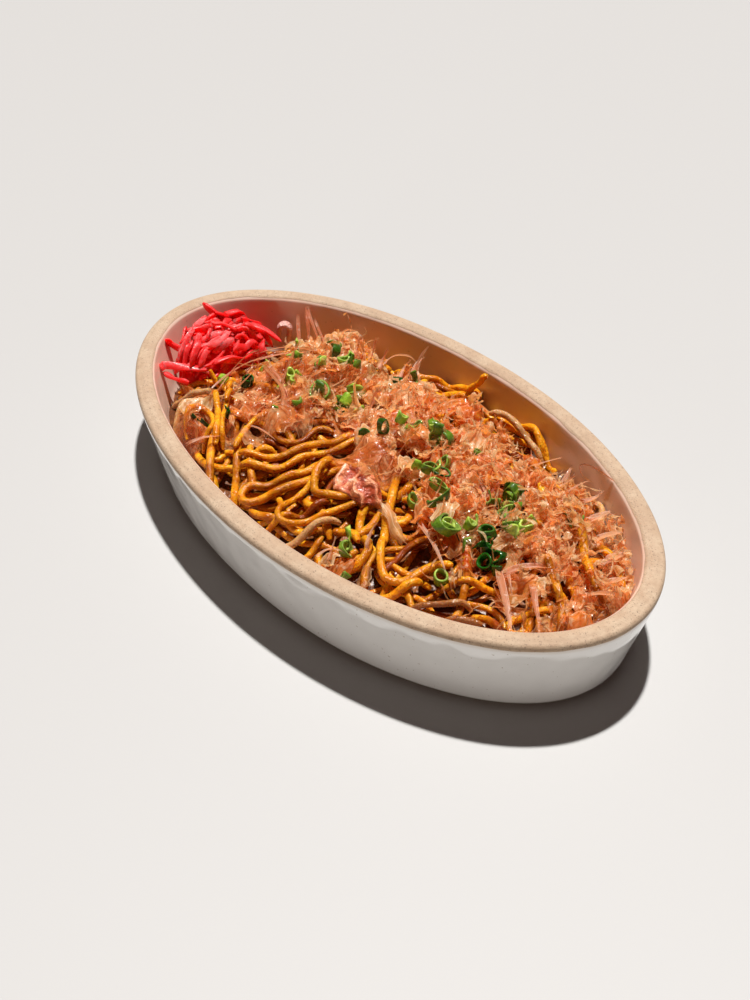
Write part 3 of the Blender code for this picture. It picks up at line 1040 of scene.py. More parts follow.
@dataclass
class Pile:
    """The growing heap: strands are laid on it one by one, each on those below."""

    hollow: Hollow
    ground: Terrain
    seed: int = 4
    tries: int = 7
    start_reach: float = 0.95
    lack_limit: float = 0.004
    stands_proud: float = 0.0032
    fewest_points: int = 12
    wall_turn: float = 90.0
    wall_gap: float = 0.0002

    def __post_init__(self) -> None:
        """Make the source of unevenness."""
        self.rng = random.Random(self.seed)

    def path(self, kind: Wander, start: np.ndarray) -> np.ndarray:
        """A curved line over the heap that turns away from the wall.

        Args:
            kind: how the strand lies.
            start: where it begins.

        Returns:
            Rows of x and y at an even spacing.
        """
        rng = self.rng
        length = rng.uniform(*kind.lengths)
        count = int(length / kind.step)
        heading = rng.uniform(0.0, 2 * math.pi)
        if kind.heading is not None:
            heading = kind.heading + rng.gauss(0.0, 0.5) + rng.choice((0.0, math.pi))
        waves = [(kind.sway * rng.uniform(0.5, 1.0), 2 * math.pi / rng.uniform(*kind.waves),
                  rng.uniform(0.0, 2 * math.pi)) for _ in range(2)]
        bend_at = rng.uniform(0.25, 0.75) * length if rng.random() < kind.hairpins else None
        bend_way = rng.choice((-1.0, 1.0))
        bend_run = rng.uniform(4.5, 9.0) * kind.radius
        x, y = start
        along, across = self.hollow.half_sizes(kind.level)
        along, across = along - kind.radius, across - kind.radius
        line = []
        for index in range(count):
            run = index * kind.step
            line.append((x, y))
            rate = sum(size * pace * math.cos(pace * run + phase) for size, pace, phase in waves)
            if bend_at is not None and bend_at < run < bend_at + bend_run:
                rate += bend_way * math.pi / bend_run
            reach = math.hypot(x / along, y / across)
            if reach > kind.turn_from:
                outward = math.atan2(y / across ** 2, x / along ** 2)
                off = math.remainder(heading - outward, 2 * math.pi)
                if abs(off) < math.pi / 2:
                    rate += math.copysign(self.wall_turn * (reach - kind.turn_from), off)
            heading += rate * kind.step
            x += kind.step * math.cos(heading)
            y += kind.step * math.sin(heading)
        return self.hollow.held(np.array(line), kind.radius + self.wall_gap)

    def drape(self, line: np.ndarray, radius: float, stiffness: int) -> np.ndarray:
        """Let a strand down on the heap.

        Args:
            line: rows of x and y.
            radius: the strand's radius.
            stiffness: how many times its height is evened out, which bridges the gaps.

        Returns:
            Rows of x, y and the height of its middle.
        """
        rest = self.ground.rest(line, radius)
        height = rest
        for _ in range(stiffness):
            height = np.maximum(soften(height, 1), rest)
        return np.column_stack([line, soften(height, 3) - 0.0001])

    def thickness(self, count: int, radius: float) -> np.ndarray:
        """An uneven radius along a strand, rounded off at both ends.

        Args:
            count: how many points the strand has.
            radius: its mean radius.

        Returns:
            The radius at each point.
        """
        phase = self.rng.uniform(0.0, PHASES)
        size = radius * self.rng.uniform(0.82, 1.08)
        marks = np.arange(count)
        out = size * (1.0 + 0.07 * np.sin(0.17 * marks + phase) + 0.04 * np.sin(0.83 * marks))
        out[[0, -1]] *= 0.55
        out[[1, -2]] *= 0.9
        return out

    def lay(self, line: np.ndarray, radius: float, tone: float) -> Strand:
        """Add a strand along the line, and let what comes later lie on it."""
        self.ground.stamp(resample(line, 0.0007), radius)
        return Strand(line, self.thickness(len(line), radius), tone)

    def fill(self, kind: Wander, target: Terrain, most: int, enough: float, node: str) -> list[Strand]:
        """Lay strands where the heap is furthest below its target.

        Args:
            kind: how the strands lie.
            target: the height that the heap should reach.
            most: how many strands to try at most.
            enough: the least mean lack of height that still takes a strand.
            node: the CAD node whose box the strands start in.

        Returns:
            The strands.
        """
        low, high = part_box(node)
        where = np.array([[low.x, low.y], [high.x, high.y]])
        strands = []
        for _ in range(most):
            best, best_lack = None, -1.0
            for _ in range(self.tries):
                start = np.array([self.rng.uniform(low, high) for low, high in zip(*where)])
                along, across = self.hollow.half_sizes(kind.level)
                if math.hypot(start[0] / along, start[1] / across) > self.start_reach:
                    continue
                line = self.path(kind, start)
                lack = target.height(line) - self.ground.height(line)
                lack = np.clip(lack, -self.lack_limit, self.lack_limit).mean()
                if lack > best_lack:
                    best, best_lack = line, lack
            if best is None or best_lack < enough:
                continue
            points = self.drape(best, kind.radius, kind.stiffness)
            keep = points[:, 2] - target.height(points) < self.stands_proud
            if keep.sum() < self.fewest_points:
                continue
            edges = np.flatnonzero(np.diff(np.concatenate([[0], keep.astype(int), [0]])))
            first, last = max(zip(edges[::2], edges[1::2]), key=lambda span: span[1] - span[0])
            if last - first < self.fewest_points:
                continue
            strands.append(self.lay(points[first:last], kind.radius, self.rng.random()))
        return strands

    def follow(self, route: Route, step: float, stiffness: int) -> Strand:
        """Lay a strand along a given route.

        Args:
            route: its course.
            step: the spacing of its points.
            stiffness: how it bridges gaps, unless it is free.

        Returns:
            The strand.
        """
        line = resample(self.hollow.metres(route.points), step)
        if not route.free:
            line[:, :2] = self.hollow.held(line[:, :2], route.radius + self.wall_gap)
            lift = line[:, 2].copy()
            line = self.drape(line[:, :2], route.radius, stiffness)
            line[:, 2] += lift
        line = self.hollow.held(line, route.radius + self.wall_gap / 2)
        return self.lay(line, route.radius, route.tone)

    def place(self, name: str, routes: Sequence[Route], finish: Finish, stiffness: int,
              more: Sequence[Strand] = ()) -> None:
        """Make one piece of the strands whose routes are given.

        Args:
            name: the piece's name.
            routes: their courses.
            finish: what they are dressed in.
            stiffness: how they bridge gaps.
            more: strands that are laid already and belong to the same piece.
        """
        strands = [*more, *(self.follow(route, 0.0012, stiffness) for route in routes)]
        put_in_scene(name, tubes(strands, 2), finish, "noodles")


TOP_NOODLES = (
    Route(((-0.36, -0.58), (-0.30, -0.68), (-0.22, -0.78), (-0.14, -0.87)), 0.00143, 0.35),
    Route(((-0.32, -0.42), (-0.26, -0.55), (-0.15, -0.70), (-0.05, -0.83)), 0.00147, 0.45),
    Route(((-0.24, -0.50), (-0.17, -0.59), (-0.08, -0.68)), 0.00134, 0.60),
    Route(((0.03, -0.83), (0.07, -0.77), (0.11, -0.63), (0.13, -0.47)), 0.00134, 0.75),
    Route(((0.10, -0.02), (0.05, -0.16), (0.00, -0.32), (-0.02, -0.47), (-0.05, -0.63),
           (-0.075, -0.71), (-0.06, -0.775), (-0.025, -0.76), (0.00, -0.63),
           (0.018, -0.50),
           (0.033, -0.33), (0.06, -0.17), (0.10, 0.04)), 0.00143, 0.30),
    Route(((-0.20, -0.62), (-0.12, -0.49), (-0.10, -0.36), (-0.08, -0.19), (-0.07, -0.04)),
          0.00152, 0.25),
    Route(((-0.16, -0.66), (-0.08, -0.52), (-0.065, -0.37), (-0.045, -0.20),
           (-0.04, -0.02)),
          0.00143, 0.35),
    Route(((0.03, -0.36), (0.045, -0.50), (0.06, -0.65), (0.09, -0.735), (0.125, -0.715),
           (0.15, -0.59), (0.18, -0.45), (0.20, -0.32)), 0.00147, 0.15),
    Route(((0.01, -0.30), (0.04, -0.43), (0.085, -0.50), (0.13, -0.45), (0.18, -0.34),
           (0.23, -0.22)), 0.00147, 0.20),
    Route(((0.15, 0.02), (0.18, -0.11, 0.5), (0.25, -0.25, 1), (0.33, -0.41, 1), (0.40, -0.53, 0.5),
           (0.46, -0.585), (0.50, -0.53), (0.51, -0.42), (0.54, -0.30)), 0.00147, 0.12),
    Route(((0.40, -0.80), (0.47, -0.69), (0.51, -0.60), (0.53, -0.47)), 0.00143, 0.35),
    Route(((0.46, -0.04), (0.52, -0.18, 0.5), (0.59, -0.29, 0.5), (0.65, -0.41), (0.68, -0.52)),
          0.00139, 0.65),
    Route(((0.57, -0.44), (0.62, -0.33), (0.66, -0.23), (0.71, -0.13)), 0.00134, 0.30),
    Route(((0.65, -0.17), (0.72, -0.09), (0.77, -0.05), (0.84, -0.05), (0.90, -0.08)),
          0.00143, 0.20),
    Route(((0.60, 0.36), (0.65, 0.24, 0.5), (0.75, 0.08, 1), (0.82, 0.01, 0.5), (0.88, -0.02)),
          0.00134, 0.25),
    Route(((0.84, 0.02), (0.87, 0.14), (0.86, 0.28)), 0.00143, 0.30),
    Route(((-0.32, 0.58), (-0.24, 0.67), (-0.18, 0.79), (-0.12, 0.83), (-0.05, 0.80)),
          0.00143, 0.10),
    Route(((-0.10, 0.78), (-0.06, 0.80, 3), (-0.045, 0.81, 7), (-0.035, 0.82, 9.5)), 0.00134, 0.20),
    Route(((-0.18, 0.48), (-0.09, 0.58), (-0.02, 0.64), (0.09, 0.66), (0.17, 0.75),
           (0.24, 0.83)), 0.00143, 0.15),
    Route(((0.02, 0.84), (0.11, 0.86), (0.21, 0.86), (0.28, 0.81), (0.33, 0.72)),
          0.00143, 0.12),
    Route(((0.02, 0.74), (0.10, 0.76), (0.18, 0.80), (0.26, 0.76)), 0.00139, 0.22),
)

LATE_NOODLES = (
    Route(((0.50, 0.58), (0.57, 0.42, 0.5), (0.63, 0.32, 0.5), (0.70, 0.24, 0.5), (0.77, 0.15, 0.3),
           (0.85, 0.09), (0.92, 0.10)), 0.00130, 0.45),
    Route(((0.70, 0.02), (0.76, -0.03, 0.5), (0.83, -0.10, 0.3), (0.88, -0.19)), 0.00130, 0.50),
    Route(((0.66, 0.46), (0.72, 0.36, 0.5), (0.80, 0.31, 0.4), (0.87, 0.22)), 0.00128, 0.40),
    Route(((0.47, 0.36), (0.53, 0.30, 0.3), (0.58, 0.18, 0.2), (0.60, 0.08)), 0.00125, 0.12),
    Route(((-0.42, -0.70), (-0.47, -0.64, 0.2), (-0.48, -0.56, 0.3), (-0.43, -0.53, 0.4),
           (-0.36, -0.60, 0.3),
           (-0.34, -0.69)), 0.00118, 0.10),
    Route(((-0.48, -0.44, 0.3), (-0.38, -0.54, 0.4), (-0.29, -0.66)), 0.00125, 0.25),
    Route(((-0.43, -0.41, 0.4), (-0.36, -0.53, 0.3), (-0.27, -0.64)), 0.00112, 0.05),
    Route(((-0.22, -0.62), (-0.28, -0.48, 0.3), (-0.29, -0.36, 0.3), (-0.25, -0.32, 0.2),
           (-0.19, -0.38)),
          0.00120, 0.20),
    Route(((-0.62, -0.36), (-0.55, -0.33, 0.3), (-0.46, -0.36, 0.3), (-0.40, -0.46)),
          0.00125, 0.35),
    Route(((-0.60, -0.06), (-0.54, -0.14, 0.3), (-0.47, -0.18, 0.3), (-0.39, -0.16)),
          0.00120, 0.15),
    Route(((-0.66, -0.28), (-0.60, -0.24, 0.2), (-0.55, -0.26, 0.2), (-0.50, -0.34)),
          0.00115, 0.10),
    Route(((-0.44, 0.00), (-0.36, -0.05, 0.3), (-0.30, -0.14, 0.3), (-0.28, -0.24)), 0.00120, 0.30),
)

SPROUTS = (
    Route(((0.13, -0.83), (0.17, -0.76, 0.5), (0.19, -0.64, 1), (0.20, -0.50, 0.5)), 0.00120, 0.15),
    Route(((0.08, 0.66, 1), (0.13, 0.70, 2), (0.20, 0.72, 2), (0.28, 0.73, 1)), 0.00115, 0.05),
    Route(((-0.49, -0.73, 1), (-0.53, -0.65, 2), (-0.55, -0.57, 2), (-0.52, -0.50, 1)), 0.00130, 0.30),
    Route(((0.50, 0.69, 2), (0.555, 0.66, 2.5), (0.60, 0.58, 2), (0.64, 0.48, 1)), 0.00125, 0.10),
    Route(((0.58, -0.60), (0.62, -0.51, 1.0), (0.65, -0.44, 0.5), (0.67, -0.38)), 0.00110, 0.95),
    Route(((0.66, -0.56), (0.70, -0.47, 1), (0.73, -0.41)), 0.00115, 0.90),
)

LATE_SPROUTS = (
    Route(((-0.685, -0.52), (-0.64, -0.485, 0.8), (-0.59, -0.45, 0.8), (-0.54, -0.41, 0.3)),
          0.00155, 0.10),
    Route(((0.555, 0.02, 0.5), (0.575, 0.045, 1.5), (0.60, 0.05, 1.5)), 0.00060, 0.0),
)

NOODLE_STIFFNESS = 12
SPROUT_STIFFNESS = 25


@dataclass
class NoodleHeap:
    """The fried noodles: a bed painted dark as the heap's shade, loose layers on it and the strands that
    show on top.
    """

    hollow: Hollow
    bed_drop: float = 0.0068
    bed_pull: float = 0.012
    ripple: float = 0.0006
    lower_gap: float = 0.0030
    route_gap: float = 0.0026
    upper_gap: float = 0.0004
    route_reach: float = 0.0032
    lower: Wander = field(default_factory=lambda: Wander(
        radius=0.00142, lengths=(0.09, 0.20), sway=0.75, waves=(0.035, 0.090), hairpins=0.2,
        stiffness=8, step=0.0024))
    upper: Wander = field(default_factory=lambda: Wander(
        radius=0.00138, lengths=(0.07, 0.17), sway=0.90, waves=(0.026, 0.070), hairpins=0.5,
        stiffness=8, step=0.0018))

    def bed_mesh(self) -> bpy.types.Mesh:
        """The CAD heap with its top let down and furrowed.

        Returns:
            The mesh.
        """
        bm = merged_copy("noodles")
        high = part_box("noodles")[1]
        for corner in bm.verts:
            x, y = corner.co.x, corner.co.y
            ripple = self.ripple * (math.sin(900 * x + 300 * y) + math.sin(700 * y - 400 * x))
            corner.co.z -= (self.bed_drop + ripple) * smooth_step(0.35, 0.8, corner.co.z / 0.025)
            reach = math.hypot(x / high.x, y / high.y)
            corner.co.xy *= 1.0 - self.bed_pull * smooth_step(0.2, 0.9, reach)
        return finished(bm, "bed")

    def upper_goal(self, target: Terrain) -> Terrain:
        """The height to fill up to, which leaves room where strands are placed along given routes.

        Args:
            target: the top of the heap.

        Returns:
            The height.
        """
        taken = target.smoothed(0)
        taken.z[:] = 0.0
        for route in TOP_NOODLES + SPROUTS:
            line = resample(self.hollow.metres(route.points)[:, :2], 0.0010)
            taken.stamp(np.column_stack([line, np.ones(len(line))]), self.route_reach)
        goal = target.smoothed(0)
        goal.z -= np.where(taken.z > 0.5, self.route_gap, self.upper_gap)
        return goal

    def build(self, pile: Pile, target: Terrain, finish: Finish) -> None:
        """Make the bed, the loose layers and the placed strands.

        Args:
            pile: what they are laid on.
            target: the top of the heap.
            finish: what the noodles are dressed in.
        """
        # the bed's dark brown is painted shade between the strands
        put_in_scene("noodle_shade_bed", self.bed_mesh(), Bed(), "noodles")
        deep = target.smoothed(0)
        deep.z -= self.lower_gap
        strands = pile.fill(self.lower, deep, 90, 0.0010, "noodles")
        put_in_scene("lower_noodles", tubes(strands, 0), finish, "noodles")
        strands = pile.fill(self.upper, self.upper_goal(target), 95, 0.0005, "noodles")
        pile.place("upper_noodles", TOP_NOODLES, finish, NOODLE_STIFFNESS, strands)
        pile.place("bean_sprouts", SPROUTS, Sprout(), SPROUT_STIFFNESS)


# ---- the ginger
GINGER_TIPS = (
    Route(((-0.80, 0.10, 26), (-0.85, 0.06, 29), (-0.90, 0.02, 32), (-0.938, -0.01, 35)),
          0.0013, 0.2, True),
    Route(((-0.68, -0.28, 26), (-0.72, -0.38, 27), (-0.755, -0.46, 28), (-0.785, -0.54, 28)),
          0.0012, 0.1, True),
    Route(((-0.80, -0.22, 24), (-0.83, -0.30, 27), (-0.858, -0.35, 30), (-0.872, -0.375, 32)),
          0.0012, 0.3, True),
    Route(((-0.66, -0.42, 25), (-0.71, -0.47, 25), (-0.75, -0.49, 26)), 0.0011, 0.4, True),
    Route(((-0.86, 0.20, 27), (-0.82, 0.12, 30), (-0.80, -0.02, 31), (-0.81, -0.14, 30)),
          0.0013, 0.3, True),
    Route(((-0.70, 0.26, 24), (-0.76, 0.22, 27), (-0.82, 0.14, 29), (-0.87, 0.08, 30)),
          0.0013, 0.0, True),
)


@dataclass
class GingerHeap:
    """Red ginger cut in thin square strips, heaped against the end wall."""

    core_share: float = 0.80
    core_drop: float = 0.0034
    core_skin: float = 0.0012
    core_tone: float = 0.1
    end_taper: float = 0.35
    twist: float = 1.2
    section: tuple[Place, ...] = ((1.25, 0.40), (1.13, 0.52), (-1.13, 0.52), (-1.25, 0.40),
                                  (-1.25, -0.40), (-1.13, -0.52), (1.13, -0.52), (1.25, -0.40))
    strip: Wander = field(default_factory=lambda: Wander(
        radius=0.00105, lengths=(0.011, 0.022), sway=0.28, waves=(0.020, 0.050), hairpins=0.0,
        stiffness=9, step=0.0009, level=0.032, turn_from=0.95, heading=math.pi / 2))

    def core(self) -> bpy.types.Mesh:
        """The CAD heap, drawn in and let down to leave room for the strips.

        Returns:
            The mesh.
        """
        bm = merged_copy("pickled_ginger")
        low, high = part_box("pickled_ginger")
        middle = (low + high) / 2
        for corner in bm.verts:
            corner.co.xy = middle.xy + (corner.co.xy - middle.xy) * self.core_share
            corner.co.z -= self.core_drop
        bmesh.ops.subdivide_edges(bm, edges=bm.edges, cuts=1, use_grid_fill=True, smooth=0.5)
        core = finished(bm, "ginger_core")
        paint(core, "tone", [self.core_tone] * len(core.vertices))
        return core

    def build(self, pile: Pile, target: Terrain) -> None:
        """Make the strips over a smaller core.

        Args:
            pile: what they are laid on.
            target: the top of the heap.
        """
        finish = Ginger()
        core = self.core()
        put_in_scene("ginger_core", core, finish, "pickled_ginger")
        pile.ground.stamp(np.array([corner.co for corner in core.vertices]), self.core_skin)
        strands = pile.fill(self.strip, target, 240, -0.0010, "pickled_ginger")
        strands += [pile.follow(route, 0.0010, 0) for route in GINGER_TIPS]
        for strand in strands:
            ends = np.abs(np.linspace(-1.0, 1.0, len(strand.radius))) ** 6
            strand.radius = strand.radius * (1.0 - self.end_taper * ends)
        mesh = strips(strands, self.section, 14, self.twist)
        put_in_scene("ginger_strips", mesh, finish, "pickled_ginger")


# ---- the fish flakes
@dataclass(frozen=True)
class Patch:
    """An oval area of the heap, as shares of the dish, and how thickly something lies there."""

    centre: Place
    reach: Place
    weight: float

    def value(self, place: Place) -> float:
        """The weight at a place, which fades towards the outline."""
        off = [(here - middle) / reach for here, middle, reach in zip(place, self.centre, self.reach)]
        return self.weight * (1.0 - smooth_step(0.75, 1.15, math.hypot(*off)))


def patches(*rows: tuple[float, ...]) -> tuple[Patch, ...]:
    """Patches from rows of two numbers for the centre, two for the reach and the weight."""
    return tuple(Patch(row[:2], row[2:4], row[4]) for row in rows)


FILM_PATCHES = patches(
    (-0.44, -0.22, 0.28, 0.46, 0.9),
    (-0.32, 0.10, 0.28, 0.36, 0.6),
    (0.12, -0.16, 0.16, 0.18, 0.9),
    (0.78, 0.05, 0.16, 0.40, 0.3),
    (0.35, -0.62, 0.14, 0.16, 0.4),
)

VEIL_PATCHES = patches(
    (-0.50, -0.16, 0.17, 0.30, 1.0),
    (-0.36, -0.10, 0.14, 0.22, 0.8),
    (-0.42, 0.16, 0.18, 0.22, 0.7),
    (-0.44, -0.60, 0.10, 0.14, 0.9),
    (-0.28, -0.36, 0.12, 0.14, 0.9),
    (0.08, -0.20, 0.07, 0.10, 1.0),
    (0.82, 0.06, 0.10, 0.26, 0.4),
)

OVER_PATCHES = patches(
    (0.74, 0.14, 0.20, 0.32, 0.8),
    (0.05, 0.16, 0.45, 0.26, 0.12),
    (0.50, 0.02, 0.14, 0.20, 0.15),
)

DRY_PATCHES = patches(
    (-0.54, 0.40, 0.20, 0.24, 1.0),
    (-0.34, 0.34, 0.28, 0.30, 0.8),
    (-0.02, 0.28, 0.34, 0.36, 1.0),
    (0.33, 0.22, 0.26, 0.40, 1.0),
    (0.62, 0.20, 0.28, 0.42, 0.9),
    (0.42, -0.14, 0.22, 0.20, 0.7),
    (0.50, -0.42, 0.20, 0.26, 0.45),
    (0.36, -0.62, 0.10, 0.14, 0.5),
    (0.76, 0.04, 0.18, 0.30, 0.55),
    (-0.45, -0.20, 0.34, 0.50, 0.10),
)

FLUFF_PATCHES = patches(
    (0.58, 0.28, 0.32, 0.42, 1.0),
    (0.80, 0.06, 0.16, 0.40, 1.0),
    (0.15, 0.30, 0.36, 0.36, 0.30),
    (-0.42, 0.05, 0.34, 0.40, 0.15),
    (-0.50, 0.42, 0.20, 0.20, 0.7),
)

FIBRE_PATCHES = patches(
    (-0.45, -0.10, 0.34, 0.50, 0.10),
    (-0.50, 0.35, 0.20, 0.30, 0.5),
    (0.10, 0.24, 0.40, 0.40, 0.7),
    (0.52, 0.14, 0.36, 0.48, 1.0),
    (0.55, -0.40, 0.26, 0.24, 0.5),
)

BARE_PATCHES = patches(
    (0.25, -0.26, 0.07, 0.14, 0.9),
    (0.35, -0.44, 0.08, 0.10, 0.9),
    (0.46, -0.55, 0.09, 0.08, 0.8),
    (-0.02, -0.58, 0.26, 0.36, 0.97),
    (-0.10, -0.25, 0.12, 0.20, 0.6),
    (0.27, -0.44, 0.11, 0.18, 0.75),
    (0.48, -0.56, 0.10, 0.14, 0.7),
    (0.05, 0.74, 0.32, 0.14, 0.95),
    (-0.84, -0.05, 0.16, 0.50, 1.0),
    (-0.67, 0.03, 0.08, 0.20, 1.0),
    (-0.66, -0.32, 0.06, 0.10, 1.0),
    (0.15, -0.33, 0.09, 0.12, 0.8),
    (0.66, -0.42, 0.18, 0.16, 0.85),
    (0.75, -0.24, 0.13, 0.13, 0.85),
    (0.78, -0.07, 0.12, 0.08, 0.5),
)


@dataclass(frozen=True)
class FlakeKind:
    """One kind of shaving: how many, how large, how curled and frayed, and how it lies."""

    name: str
    count: int
    lengths: tuple[float, float]
    widths: tuple[float, float]
    where: tuple[Patch, ...]
    curl: float
    tilt: float
    cling: float
    sink: float
    rows: tuple[int, int]
    growth: float
    whole: float = 1.0
    fray: float = 0.0
    upright: float = 0.0
    moist: bool = False
    shades: Place = (1.2, 1.2)


FILMS = FlakeKind("flake_films", 110, (0.009, 0.021), (0.0030, 0.0090), FILM_PATCHES,
                  curl=0.5, tilt=0.10, cling=0.94, sink=0.0004, rows=(20, 9), growth=0.15,
                  whole=0.75, fray=0.10, moist=True, shades=(1.6, 1.6))
VEILS = FlakeKind("flake_veils", 66, (0.010, 0.022), (0.0045, 0.0105), VEIL_PATCHES,
                  curl=0.6, tilt=0.12, cling=0.93, sink=0.0003, rows=(20, 9), growth=0.10,
                  whole=0.70, fray=0.08, moist=True, shades=(1.4, 1.4))
SHAVINGS = FlakeKind("flake_shavings", 300, (0.008, 0.020), (0.0030, 0.0095), DRY_PATCHES,
                     curl=1.1, tilt=0.30, cling=0.40, sink=0.0012, rows=(12, 6), growth=0.30,
                     whole=0.55, fray=0.35, upright=0.08, shades=(1.1, 0.7))
OVER = FlakeKind("flakes_over", 150, (0.004, 0.010), (0.0018, 0.0050), OVER_PATCHES,
                 curl=1.1, tilt=0.30, cling=0.50, sink=0.0010, rows=(12, 6), growth=0.30,
                 whole=0.55, fray=0.35, upright=0.08, moist=True, shades=(2.0, 0.7))
FIBRES = FlakeKind("flake_fibres", 70, (0.008, 0.022), (0.0003, 0.0009), FIBRE_PATCHES,
                   curl=1.1, tilt=0.25, cling=0.45, sink=0.0004, rows=(12, 1), growth=0.1,
                   upright=0.06, shades=(1.5, 1.2))
FLUFF = FlakeKind("flake_fluff", 480, (0.0034, 0.0085), (0.0012, 0.0034), FLUFF_PATCHES,
                  curl=1.2, tilt=0.60, cling=0.12, sink=0.0004, rows=(8, 3), growth=0.26,
                  whole=0.60, fray=0.25, upright=0.16, shades=(1.7, 0.5))
SLIVERS = FlakeKind("flake_slivers", 320, (0.0040, 0.0110), (0.0003, 0.0009), FLUFF_PATCHES,
                    curl=0.6, tilt=0.30, cling=0.15, sink=0.0002, rows=(6, 1), growth=0.05,
                    upright=0.14, shades=(2.2, 0.5))


def frayed_sheet(rows: tuple[int, int], whole: float) -> tuple[bmesh.types.BMesh, np.ndarray]:
    """A flat sheet from -1 to 1 that is slit lengthways at both ends.

    Args:
        rows: how many faces it has along and across.
        whole: how far from the middle the slits begin, from 0 to 1.

    Returns:
        The sheet, and for each corner its place along and across, and the middle of
        the finger it belongs to.
    """
    bm = bmesh.new()
    bm.loops.layers.uv.new("UVMap")
    bmesh.ops.create_grid(bm, x_segments=rows[0], y_segments=rows[1], size=1.0, calc_uvs=True)
    slits = [
        edge for edge in bm.edges
        if not edge.is_boundary and abs(edge.verts[0].co.y - edge.verts[1].co.y) < 1e-4
        and min(abs(corner.co.x) for corner in edge.verts) > whole
    ]
    bmesh.ops.split_edges(bm, edges=slits)
    spots = []
    for corner in bm.verts:
        sides = [face.calc_center_median().y for face in corner.link_faces]
        spots.append((corner.co.x, corner.co.y, sum(sides) / len(sides)))
    return bm, np.array(spots)


@dataclass(frozen=True)
class Ribbon:
    """A long shaving whose place is given: its route, width, roll and shade."""

    points: tuple[tuple[float, float, float], ...]
    width: float
    roll: float
    tone: float


